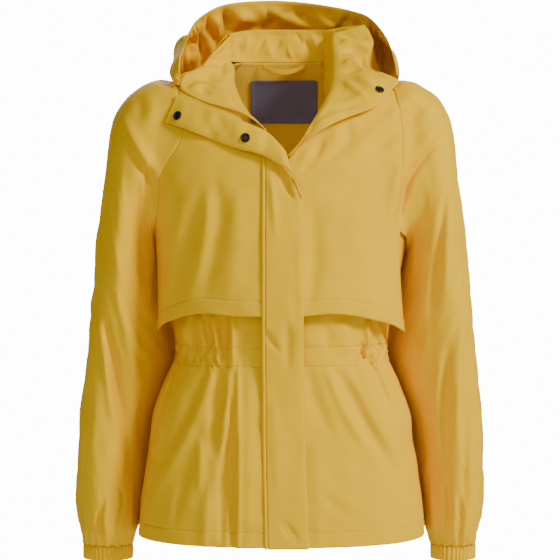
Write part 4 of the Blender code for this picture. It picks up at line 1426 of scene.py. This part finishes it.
    def back(self) -> Cloth:
        """Back, from the neck to the hem.

        Returns:
            The cloth.
        """
        down, across = grid(spaced(150, (0.962,), 0.006), 150)
        side = 2 * across - 1
        top = NECK_BACK.curve("angle_deg", "z", math.pi - np.abs(side) * math.pi / 2)
        z = mix(top, self.hem_z, mix(down, down**2, 0.35))
        edge = np.where(z < self.armpit_z, math.pi / 2, ARMHOLE.curve("z", "back_deg", z))
        cloth = Cloth(on_body(BACK, math.pi - side * (math.pi - edge), z), flip=True)
        x, z = cloth.points[..., 0], cloth.points[..., 2]
        cloth = cloth.pushed([Creases(BACK_CREASES, View.BACK)])
        inside = np.clip(10 * (1 - np.abs(side)), 0, 1)
        gathers = self.back_gathers(x, z) * inside
        rough = Unevenness(31, 0.7 * MM).at(x, z) * inside
        return cloth.raised(rough + gathers + self.hem_band(cloth.down()))

    def back_gathers(self, x: np.ndarray, z: np.ndarray) -> np.ndarray:
        """Even puckers all along the waist casing of the back.

        Args:
            x: place across of each point.
            z: height of each point.

        Returns:
            Height of the puckers, with the casing's stitches pulled in.
        """
        lean = self.gather_lean * (z - WAIST_Z) * np.sin(x / (47 * MM))
        shift = self.gather_drift * np.sin(x / (31 * MM)) + lean
        ripple = np.sin(2 * math.pi * (x + shift) / self.gather_pitch)
        fade = bell(z - WAIST_Z, np.where(z > WAIST_Z, self.gather_reach_up, self.gather_reach_down))
        return self.gather_height * ripple * fade - casing_grooves(z)

    @staticmethod
    def lining_depth(x: np.ndarray, z: np.ndarray) -> np.ndarray:
        """Depth of the lining behind the middle of the jacket.

        Args:
            x: place across of each point.
            z: height of each point.

        Returns:
            The depth, plus to the back.
        """
        inset = LINING.curve("z", "inset", z)
        half_width = BACK.curve("z", "half_width", z) - inset
        depth = BACK.curve("z", "depth", z) - inset
        return depth * (1 - np.clip(np.abs(x) / half_width, 0, 1) ** POWER) ** (1 / POWER)

    def lining(self) -> Cloth:
        """Mesh lining of the upper back.

        Returns:
            The cloth.
        """
        down, across = grid(60, 90)
        z = mix(LINING["z"][0], LINING["z"][-1], down)
        x = (2 * across - 1) * LINING.curve("z", "half_width", z)
        cloth = Cloth(np.stack([x, self.lining_depth(x, z), z], axis=-1), flip=True)
        return cloth.raised(Unevenness(41, 0.25 * MM).at(x, z) * step(0, 0.1, 1 - np.abs(2 * across - 1)))

    def build(self) -> None:
        """Makes the body's pieces and marks their seams."""
        shop, finish = self.shop, CoatedCloth()
        for side in Side:
            upper, lower, word = self.upper(side), self.lower(side), side.word
            shop.piece(upper, f"upper_front_{word}", f"front_upper_{word}", finish, self.wall, Held.HUNG)
            shop.piece(lower, f"lower_front_{word}", f"front_lower_{word}", finish, self.wall, Held.GATHERED)
            stitches = f"stitches_front_{word}"
            shop.seam(stitches, self.hem_line(upper)[1:])
            shop.seam(stitches, self.hem_line(lower))
            for rise in CASING:
                shop.seam(stitches, self.level_line(lower, WAIST_Z + rise))
        back = self.back()
        shop.piece(back, "back_panel", "back", finish, self.wall, Held.GATHERED)
        shop.seam("stitches_back", self.hem_line(back))
        for rise in CASING:
            shop.seam("stitches_back", self.level_line(back, WAIST_Z + rise))
        shop.piece(self.lining(), "mesh_lining", "back_lining", MeshLining(), self.lining_wall, Held.HUNG)


@dataclass
class Sleeves:
    """Raglan sleeves and their elastic cuffs."""

    shop: Workshop
    wall: float = 1.0 * MM
    seam_shape_length: float = 150.0 * MM
    right_wrist_in: float = 6.5 * MM
    right_front_back: float = 10.0 * MM
    right_front_rows: int = 7
    wrist_top_z: float = -420.0 * MM
    wrist_length: float = 0.236
    seam_free: float = 25 * MM
    gather_height: float = 1.5 * MM
    gather_reach: float = 38 * MM
    gathers: int = 17
    cuff_height: float = 20.0 * MM
    cuff_gap: float = 0.2 * MM
    cuff_pleats: int = 34
    cuff_pleat_height: float = 1.25 * MM
    cuff_swell: float = 1.2 * MM
    cuff_draw: float = 1.6 * MM

    @staticmethod
    def ring(side: Side, turn: np.ndarray) -> np.ndarray:
        """Armhole seam round a sleeve.

        Args:
            side: side of the jacket.
            turn: angles, 0 at the armpit, up the front to pi at the shoulder.

        Returns:
            The seam's point at each angle.
        """
        z = mix(ARMHOLE["z"][0], ARMHOLE["z"][-1], 0.5 - 0.5 * np.cos(math.pi * np.linspace(0, 1, 121)))
        front = on_body(CHEST, ARMHOLE.curve("z", f"{side.word}_deg", z), z)[::-1]
        back = on_body(BACK, ARMHOLE.curve("z", "back_deg", z), z)
        ring = np.concatenate([front, back[1:]])
        length = run_along(ring)
        half = length[len(front) - 1]
        turns = np.where(length < half, math.pi * length / half,
                         math.pi + math.pi * (length - half) / (length[-1] - half))
        return smooth(turns, ring, turn)

    @staticmethod
    def section(inner: np.ndarray, fore: np.ndarray, outer: np.ndarray, rear: np.ndarray,
                turn: np.ndarray) -> np.ndarray:
        """Smooth closed section through four points a quarter turn apart.

        Args:
            inner: point at angle 0, towards the body.
            fore: point at a quarter turn, at the front.
            outer: point at half a turn.
            rear: point at three quarters of a turn.
            turn: angles to read.

        Returns:
            The section's point at each angle.
        """
        cosine, sine, bend = np.cos(turn)[:, None], np.sin(turn)[:, None], np.cos(2 * turn)[:, None]
        centre = (inner + fore + outer + rear) / 4
        return (centre + cosine * (inner - outer) / 2 + sine * (fore - rear) / 2
                + bend * (inner - fore + outer - rear) / 4)

    def sleeve(self, side: Side) -> Cloth:
        """Sleeve from the armhole to the wrist.

        Args:
            side: side of the jacket.

        Returns:
            The cloth.
        """
        rows, columns = 180, 150
        turn = np.linspace(0, 2 * math.pi, columns, endpoint=False)
        ring = self.ring(side, turn)
        quarters = self.ring(side, np.linspace(0, 1.5 * math.pi, 4))
        own_shape = ring - self.section(*quarters, turn)
        sections = [self.section(*quarters, turn)]
        wrist = np.clip((SLEEVE["outer_z"] - self.wrist_top_z) / -self.wrist_length, 0, 1)
        for row, inward in zip(SLEEVE.rows(), wrist):
            outer_x = row["outer_x"] - (self.right_wrist_in * inward if side is Side.RIGHT else 0)
            middle_z = (row["outer_z"] + row["inner_z"]) / 2
            inner = np.array([row["inner_x"], row["inner_y"], row["inner_z"]])
            outer = np.array([outer_x, row["inner_y"] * 0.15, row["outer_z"]])
            flatter = 0.0
            if side is Side.RIGHT:
                flatter = self.right_front_back * max(0.0, 1 - len(sections) / self.right_front_rows)
            fore = np.array([row["front_x"], row["front_y"] + flatter, middle_z])
            rear = np.array([(outer_x + row["inner_x"]) / 2, row["back_y"], middle_z])
            sections.append(self.section(inner, fore, outer, rear, turn))
        sections = np.array(sections)
        steps = np.linalg.norm(np.diff(sections, axis=0), axis=2)
        keys = np.concatenate([[0], np.cumsum(steps.mean(axis=1) + 0.5 * steps.max(axis=1))])
        places = np.linspace(0, keys[-1], rows)
        left = np.clip(1 - places / self.seam_shape_length, 0, 1)[:, None, None]
        points = smooth(keys, sections, places) + own_shape * left**2 * (3 - 2 * left)
        points[..., 0] *= side.value
        cloth = Cloth(points, flip=side is Side.LEFT, closed=True)
        cloth = cloth.pushed([Creases(UPPER_CREASES), Creases(BACK_CREASES, View.BACK),
                              Creases(OUTSIDE_CREASES, View.OUTSIDE)])
        free = step(0, self.seam_free, places)[:, None]
        rough = Unevenness(51 + side.value, 0.45 * MM).at(cloth.across()[:, :-1], cloth.down()[:, :-1])
        height = rough * self.round_fade(turn) + self.wrist_gathers(turn, places, keys[-1])
        return cloth.raised(height * free)

    @staticmethod
    def round_fade(turn: np.ndarray) -> np.ndarray:
        """Fades unevenness out at the inner seam, where the tube's two edges meet."""
        return step(0, 0.35, turn) * step(2 * math.pi, 2 * math.pi - 0.35, turn)

    def wrist_gathers(self, turn: np.ndarray, places: np.ndarray, end: float) -> np.ndarray:
        """Gathers that fan up the sleeve from the cuff.

        Args:
            turn: angle of each column.
            places: distance down the sleeve of each row.
            end: distance down the sleeve of its end.

        Returns:
            Height of the gathers.
        """
        near = bell(end - places, self.gather_reach)[:, None]
        ripple = np.cos(self.gathers * turn + 0.9 * np.sin(3 * turn))[None, :]
        return self.gather_height * near * ripple

    def cuff(self, side: Side, end: np.ndarray) -> Cloth:
        """Narrow cuff below the sleeve, its elastic drawing up small pleats.

        Args:
            side: side of the jacket.
            end: the sleeve's last section.

        Returns:
            The cloth.
        """
        rows, columns = 16, 8 * self.cuff_pleats
        turn = np.linspace(0, 2 * math.pi, columns, endpoint=False)
        centre = end.mean(axis=0)
        half_x = float(end[:, 0].max() - end[:, 0].min()) / 2
        half_y = float(end[:, 1].max() - end[:, 1].min()) / 2
        part = np.linspace(0, 1, rows)[:, None]
        swell = self.cuff_swell * np.sin(math.pi * part) - self.cuff_draw
        uneven = 1 + 0.35 * np.sin(5 * turn + 1.3) * np.sin(2 * turn)
        pleats = np.cos(self.cuff_pleats * turn + 0.8 * np.sin(7 * turn) + 0.5 * part)
        wave = self.cuff_pleat_height * uneven * pleats
        squeeze = 1 - 0.35 * bell(part - 0.5, 0.2)
        lift = swell + wave * squeeze
        points = np.stack([
            centre[0] - side.value * np.cos(turn) * (half_x + lift),
            centre[1] - np.sin(turn) * (half_y + lift),
            end[:, 2].min() - self.cuff_gap - part * self.cuff_height + 0 * turn], axis=-1)
        return Cloth(points, flip=side is Side.LEFT, closed=True)

    def build(self) -> None:
        """Makes both sleeves and cuffs and marks their seams."""
        shop, finish = self.shop, CoatedCloth()
        for side in Side:
            word = side.word
            sleeve = self.sleeve(side)
            cuff = self.cuff(side, sleeve.points[-1])
            shop.piece(sleeve, f"raglan_sleeve_{word}", f"sleeve_{word}", finish, self.wall, Held.HUNG)
            shop.piece(cuff, f"elastic_cuff_{word}", f"cuff_{word}", finish, self.wall, Held.GATHERED)
            shop.seam(f"stitches_sleeve_{word}", sleeve.line(row=0.012, lift=SEAM_LIFT))
            shop.seam(f"stitches_sleeve_{word}", cuff.line(row=0.1, lift=SEAM_LIFT))


@dataclass
class Opening:
    """Band over the front opening with its piped edge, and the band's turned-back top."""

    shop: Workshop
    wall: float = 1.0 * MM
    hem_z: float = -641.5 * MM
    top_left_z: float = -84.0 * MM
    top_right_z: float = -150.0 * MM
    edge_reach: float = 3 * MM
    edge_drop: float = 0.8 * MM
    piping_top_z: float = -92.0 * MM
    piping_width: float = 4.5 * MM
    piping_rise: float = 1.2 * MM
    piping_gap: float = 0.3 * MM
    lapel_hem: float = 0.6 * MM
    lapel_creases: float = 0.7

    def band(self) -> Cloth:
        """Wide band over the front opening.

        Returns:
            The cloth.
        """
        down, across = grid(170, 22)
        top = mix(self.top_left_z, self.top_right_z, across)
        z = mix(top, self.hem_z, down)
        x = mix(BAND.curve("z", "left", z), BAND.curve("z", "right", z), across)
        cloth = Cloth(on_body(BAND, front_angle(BAND, x, z), z))
        cloth = cloth.pushed([Creases(PLACKET_CREASES)])
        edge = self.edge_drop * bell((1 - across) * 50 * MM, self.edge_reach)
        rough = Unevenness(61, 0.5 * MM).at(cloth.points[..., 0], cloth.points[..., 2])
        return cloth.raised(rough * step(0, 0.15, 1 - across) - edge)

    def piping(self) -> Cloth:
        """Raised edge along the sewn side of the band.

        Returns:
            The cloth.
        """
        down, across = grid(170, 9)
        z = mix(self.piping_top_z, self.hem_z, down)
        right = BAND.curve("z", "left", z) - self.piping_gap
        x = mix(right - self.piping_width, right, across)
        points = on_body(BAND, front_angle(BAND, x, z), z)
        points[..., 1] -= self.piping_rise * np.sin(math.pi * across)
        return Cloth(points)

    def lapel(self) -> Cloth:
        """Turned-back top of the band, its underside showing.

        Returns:
            The cloth.
        """
        rows, columns = 130, 30
        cloth = strip(LAPEL, "low", "up", (rows, columns), "camber", LAPEL_BOW, flip=True)
        part = np.linspace(0, 1, rows)[:, None]
        edge = np.linspace(0, 1, columns)[None, :]
        rough = Unevenness(71, 0.4 * MM, 0.08, 0.02).at(cloth.across(), cloth.down())
        hem = 1 - 0.9 * bell(edge, 0.08) - 0.9 * bell(1 - edge, 0.08)
        creases = Creases(LAPEL_CREASES).height(cloth.points[..., 0], cloth.points[..., 2])
        height = rough + self.lapel_creases * creases + self.lapel_hem * hem
        return cloth.raised(height * np.sin(math.pi * np.clip(part * 6, 0, 0.5)))

    def build(self) -> None:
        """Makes the band, the piping and the lapel."""
        shop, finish, lapel = self.shop, CoatedCloth(), self.lapel()
        shop.piece(self.band(), "front_band", "placket", finish, self.wall, Held.HUNG)
        shop.piece(self.piping(), "band_piping", "placket_piping", finish, self.wall, Held.HUNG)
        shop.piece(lapel, "band_lapel", "placket_lapel", finish, self.wall, Held.FOLDED)
        shop.seam("stitches_band", lapel.line(column=0.08, lift=SEAM_LIFT)[12:])
        shop.seam("stitches_band", lapel.line(row=0.965, lift=SEAM_LIFT))


@dataclass
class Neck:
    """Turned-out front edges, neck band, hood, hanging loop and label."""

    shop: Workshop
    wall: float = 1.0 * MM
    loop_wall: float = 0.8 * MM
    label_wall: float = 0.7 * MM
    loop_width: float = 7.0 * MM
    loop_left_x: float = -28 * MM
    loop_right_x: float = 34 * MM
    loop_y: float = 62.5 * MM
    loop_z: float = 28 * MM
    loop_forward: float = 5 * MM
    loop_sag: float = 9 * MM
    label_size: tuple = (97.0 * MM, 61.0 * MM)
    label_centre: tuple = (3.6 * MM, -25.5 * MM)
    label_corner: float = 5.0 * MM
    label_inset: float = 2.7 * MM
    label_border: float = 0.35 * MM
    border_inner: float = 4.2 * MM
    border_outer: float = 3.4 * MM
    crumple_waves: int = 12
    hood_waves: int = 11
    hood_crumple: float = 3.6 * MM
    lap_z: tuple = (-38 * MM, 2 * MM)
    lap_y: float = 66 * MM
    turn_in: tuple = (-15.0 * MM, 36.0 * MM, -9.0 * MM)
    turn_bow: tuple = (-8.0 * MM, -14.0 * MM, 6.0 * MM)

    def facing(self, side: Side) -> Cloth:
        """Front edge turned out at the open neck.

        Args:
            side: side of the jacket.

        Returns:
            The cloth.
        """
        table = FACING_LEFT if side is Side.LEFT else FACING_RIGHT
        cloth = strip(table, "inner", "outer", (150, 48), "roll", FACING_BOW, flip=side is Side.RIGHT)
        crumple = Unevenness(81 + side.value, 0.6 * MM, 0.09, 0.03, self.crumple_waves, True)
        rough = crumple.at(cloth.across(), cloth.down())
        part = np.linspace(0, 1, cloth.points.shape[1])[None, :]
        creases = Creases(LEFT_FACING_CREASES if side is Side.LEFT else RIGHT_FACING_CREASES)
        height = rough + creases.height(cloth.points[..., 0], cloth.points[..., 2])
        cloth = cloth.raised(height * step(0, 0.2, part) * step(1, 0.85, part))
        return self.turned_in(cloth) if side is Side.RIGHT else cloth

    def turned_in(self, cloth: Cloth) -> Cloth:
        """Carries a cloth on past its rolled edge, into the neck.

        Args:
            cloth: the cloth, its rolled edge in the first column.

        Returns:
            The cloth with more columns before its first.
        """
        edge = cloth.points[:, 0]
        reach = step(*self.lap_z, edge[:, 2]) * np.clip((self.lap_y - edge[:, 1]) / self.turn_in[1], 0, 1)
        part = np.linspace(1, 0, 12, endpoint=False)[None, :, None]
        drop = part * np.array(self.turn_in) + part * (1 - part) * np.array(self.turn_bow)
        inner = cloth.points[:, :1] + drop * reach[:, None, None]
        return Cloth(np.concatenate([inner, cloth.points], axis=1), cloth.flip)

    def band(self) -> Cloth:
        """Inner back neck band.

        Returns:
            The cloth.
        """
        rows, columns = 110, 34
        cloth = strip(NECK_BAND, "foot", "top", (rows, columns))
        part = np.linspace(0, 1, columns)[None, :]
        crumple = Unevenness(91, 0.9 * MM, 0.07, 0.02, self.crumple_waves, True)
        rough = crumple.at(cloth.across(), cloth.down())
        height = rough + Creases(BAND_CREASES).height(cloth.points[..., 0], cloth.points[..., 2])
        return cloth.raised(height * step(0, 0.15, part) * step(1, 0.8, part))

    def hood(self) -> Cloth:
        """Hood, lying back and open, from its left front end round to its right front end.

        Returns:
            The cloth.
        """
        rows, columns = 240, 96
        stations = np.stack([HOOD.points(name) for name in HOOD_POINTS], axis=1)
        steps = np.linalg.norm(np.diff(stations[:, (0, 3, 5)], axis=0), axis=2).mean(axis=1)
        keys = np.concatenate([[0], np.cumsum(steps)])
        profiles = smooth(keys, stations, np.linspace(0, keys[-1], rows))
        points = []
        for profile in profiles:
            run = run_along(profile)
            points.append(smooth(run, profile, np.linspace(0, run[-1], columns)))
        cloth = Cloth(np.array(points), flip=True)
        part = np.linspace(0, 1, columns)[None, :]
        along = np.linspace(0, 1, rows)[:, None]
        ends = step(0.08, 0.24, along) * step(0.92, 0.78, along)
        inside = 0.25 + 0.75 * step(0.45, 0.65, part)
        crumple = Unevenness(101, self.hood_crumple, 0.12, 0.035, self.hood_waves, True)
        rough = crumple.at(cloth.across(), cloth.down())
        cloth = cloth.raised(rough * ends * inside * step(0, 0.08, part) * step(1, 0.94, part))
        moved = Creases(HOOD_CREASES, View.VIEWER).push(cloth.points) - cloth.points
        shown = step(0.62, 0.76, part) * step(1, 0.96, part) * step(0, 0.1, along) * step(1, 0.9, along)
        return Cloth(cloth.points + moved * shown[..., None], cloth.flip)

    def loop(self) -> Cloth:
        """Hanging loop below the neck seam, sagging from its two ends.

        Returns:
            The cloth.
        """
        part = np.linspace(0, 1, 48)
        sag = np.sin(math.pi * part)
        x = mix(self.loop_left_x, self.loop_right_x, part)
        y = self.loop_y - self.loop_forward * sag
        z = self.loop_z - self.loop_sag * sag
        path = np.stack([x, y, z], axis=-1)
        width = np.linspace(0, 1, 7)[None, :, None] * np.array([0, 0.2, -1.0]) * self.loop_width
        return Cloth(path[:, None] + width, flip=True)

    def label(self) -> Cloth:
        """Sewn label with rounded corners, left bare.

        Returns:
            The cloth.
        """
        down, across = grid(40, 60)
        half_x, half_z = self.label_size[0] / 2, self.label_size[1] / 2
        from_edge = np.clip(half_z - np.abs(2 * down - 1) * half_z, 0, self.label_corner)
        curve = self.label_corner - np.sqrt(self.label_corner**2 - (self.label_corner - from_edge) ** 2)
        x = self.label_centre[0] + (2 * across - 1) * (half_x - curve)
        z = self.label_centre[1] - (2 * down - 1) * half_z
        y = Body.lining_depth(x, z) - self.label_inset
        rough = Unevenness(111, 0.2 * MM, 0.09, 0.03).at(x, z)
        from_side = np.minimum(across, 1 - across) * 2 * half_x
        from_end = np.minimum(down, 1 - down) * 2 * half_z
        edge = np.minimum(from_side, from_end)
        border = self.label_border * step(self.border_inner, self.border_outer, edge)
        return Cloth(np.stack([x, y, z], axis=-1)).raised(rough + border)

    def build(self) -> None:
        """Makes the pieces round the neck and marks their seams."""
        shop, finish = self.shop, CoatedCloth()
        for side, column in ((Side.LEFT, 0.93), (Side.RIGHT, 0.8)):
            facing, word = self.facing(side), side.word
            shop.piece(facing, f"turned_facing_{word}", f"facing_{word}", finish, self.wall, Held.FOLDED)
            shop.seam("stitches_neck", facing.line(column=column, lift=SEAM_LIFT)[20:96])
        band, hood = self.band(), self.hood()
        shop.piece(band, "inner_neck_band", "neck_band", finish, self.wall, Held.HUNG)
        shop.piece(hood, "lying_hood", "hood", finish, self.wall, Held.HUNG)
        shop.piece(self.loop(), "sagging_loop", "hanging_loop", finish, self.loop_wall, Held.HUNG)
        shop.piece(self.label(), "woven_label", "label", LabelWeave(), self.label_wall, Held.HUNG)
        shop.seam("stitches_neck", band.line(column=0.06, lift=SEAM_LIFT))
        shop.seam("stitches_neck", hood.line(column=0.955, lift=SEAM_LIFT)[8:-8])


@dataclass
class Snaps:
    """Dark press snaps: a ring, a groove and a low dome."""

    shop: Workshop
    sides: int = 48
    radius: float = 6.6 * MM
    clear: float = 0.3 * MM
    tilt: float = 0.35
    lapel_seats: tuple = ((0.93, 0.35), (0.50, 0.45))
    facing_seat: tuple = (0.525, 0.86)
    profile: Table = field(default_factory=lambda: Table("radius_n height", [
        (0.0, 1.45), (0.2, 1.44), (0.4, 1.36), (0.52, 1.2), (0.58, 0.95), (0.62, 0.9), (0.68, 1.3),
        (0.76, 1.6), (0.86, 1.62), (0.95, 1.4), (1.0, 0.9), (1.0, 0.1), (0.96, 0.0), (0.0, 0.0)]))

    def build(self) -> None:
        """Makes each snap on the cloth that carries it."""
        lapel, facing = Opening(self.shop).lapel(), Neck(self.shop).facing(Side.RIGHT)
        for number, seat in enumerate(self.lapel_seats, 1):
            self.snap(f"press_snap_{number}", f"snap_{number}", *lapel.seat(*seat))
        place, axis = facing.seat(*self.facing_seat)
        axis = axis + self.tilt * np.array([0.0, 0.0, 1.0])
        self.snap("press_snap_3", "snap_3", place, axis / np.linalg.norm(axis))

    def snap(self, name: str, node: str, place: np.ndarray, axis: np.ndarray) -> None:
        """Makes a turned metal cap that stands for a node.

        Args:
            name: the piece's name.
            node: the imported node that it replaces.
            place: the point of the cloth that carries it.
            axis: its outward direction.
        """
        foot = place + axis * self.clear
        first = np.cross(axis, (0.0, 0.0, 1.0))
        first /= np.linalg.norm(first)
        second = np.cross(axis, first)
        turn = np.linspace(0, 2 * math.pi, self.sides, endpoint=False)
        round_it = np.cos(turn)[:, None] * first + np.sin(turn)[:, None] * second
        vertices, faces = [foot + axis * self.profile["height"][0]], []
        inner = list(zip(self.profile["radius_n"], self.profile["height"]))[1:-1]
        for radius, height in inner:
            vertices.extend(foot + axis * height + round_it * radius * self.radius)
        vertices.append(foot)
        last = len(vertices) - 1
        for index in range(self.sides):
            after = (index + 1) % self.sides
            faces.append((0, 1 + index, 1 + after))
            for ring in range(len(inner) - 1):
                start = 1 + ring * self.sides
                above = start + self.sides
                faces.append((start + index, above + index, above + after, start + after))
            start = 1 + (len(inner) - 1) * self.sides
            faces.append((start + index, last, start + after))
        mesh = bpy.data.meshes.new(name)
        mesh.from_pydata([tuple(map(float, vertex)) for vertex in vertices], [], faces)
        mesh.shade_smooth()
        mesh.materials.append(self.shop.material(DarkEnamel()))
        made = placed(name, mesh)
        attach(made, "root")
        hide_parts(node)
        LOG.info("%s made", name)


@dataclass
class Studio:
    """Camera, pale floor, white surround and soft lights."""

    distance: float = 3.1
    rise_deg: float = 2.5
    target: tuple = (0.0, 0.0, -0.281)
    frame_width: float = 560 * 1.42 * MM
    shift_x: float = -1.5 / 560
    floor_z: float = -1.36
    floor_reach: float = 3.4
    floor_sides: int = 96
    ambient: float = 0.22
    white: float = 14.0
    film_width: float = 36
    lights: tuple = (("Key", (2.3, -1.7, 1.5), 0.8, 110), ("Fill", (-0.7, -3.2, 1.2), 2.0, 26),
                     ("Rear", (-0.5, 3.1, 1.2), 1.6, 95))

    def camera(self) -> None:
        """Camera at the photograph's angle."""
        rise = math.radians(self.rise_deg)
        away = Vector((0, -math.cos(rise), math.sin(rise)))
        data = bpy.data.cameras.new("Camera")
        camera = placed("Camera", data)
        camera.location = Vector(self.target) + away * self.distance
        camera.rotation_euler = (-away).to_track_quat("-Z", "Y").to_euler()
        data.sensor_width = self.film_width
        data.lens = self.film_width * self.distance / self.frame_width
        data.shift_x = self.shift_x
        bpy.context.scene.camera = camera

    def floor(self) -> None:
        """Plain pale round floor below the jacket."""
        turn = np.linspace(0, 2 * math.pi, self.floor_sides, endpoint=False)
        reach = self.floor_reach
        rim = [(reach * math.cos(at), reach * math.sin(at), self.floor_z) for at in turn]
        mesh = bpy.data.meshes.new("studio_floor")
        mesh.from_pydata(rim, [], [tuple(range(len(rim)))])
        shader = Shader("Pale studio floor")
        shader.set("Base Color", (0.93, 0.93, 0.93, 1))
        shader.set("Roughness", 0.9)
        mesh.materials.append(shader.material)
        placed("studio_floor", mesh)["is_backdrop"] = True

    def surround(self) -> None:
        """World that is white behind the jacket and lights it only dimly."""
        world = bpy.data.worlds.new("Studio")
        world.use_nodes = True
        nodes, links = world.node_tree.nodes, world.node_tree.links
        path, strength = nodes.new("ShaderNodeLightPath"), nodes.new("ShaderNodeMapRange")
        strength.inputs["To Min"].default_value = self.ambient
        strength.inputs["To Max"].default_value = self.white
        links.new(path.outputs["Is Camera Ray"], strength.inputs["Value"])
        background = nodes["Background"]
        background.inputs["Color"].default_value = (1, 1, 1, 1)
        links.new(strength.outputs["Result"], background.inputs["Strength"])
        bpy.context.scene.world = world

    def light(self, name: str, place: tuple, size: float, power: float) -> None:
        """Makes one soft square light that faces the jacket.

        Args:
            name: the light's name.
            place: its place.
            size: its width.
            power: its power in watts.
        """
        data = bpy.data.lights.new(name, "AREA")
        data.energy = power
        data.size = size
        made = placed(name, data)
        made.location = place
        made.rotation_euler = (Vector(self.target) - Vector(place)).to_track_quat("-Z", "Y").to_euler()

    def build(self) -> None:
        """Sets up the studio."""
        self.camera()
        self.floor()
        self.surround()
        for light in self.lights:
            self.light(*light)


def as_lists(bounds: tuple) -> list:
    """A box's corners as plain lists of numbers."""
    return [[float(value) for value in corner] for corner in bounds]


def main() -> None:
    """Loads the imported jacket, dresses it and sets up the studio."""
    logging.basicConfig(level=logging.INFO, format="%(message)s")
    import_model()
    solid_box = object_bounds()
    Studio().build()
    shop = Workshop()
    for part in (Body(shop), Sleeves(shop), Opening(shop), Neck(shop), Snaps(shop)):
        part.build()
        LOG.info("%s done", type(part).__name__)
    Stitching().sew(shop.seams, shop.material(Thread()))
    {"cad": as_lists(solid_box), "visual": as_lists(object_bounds())}


if __name__ == "__main__":
    main()
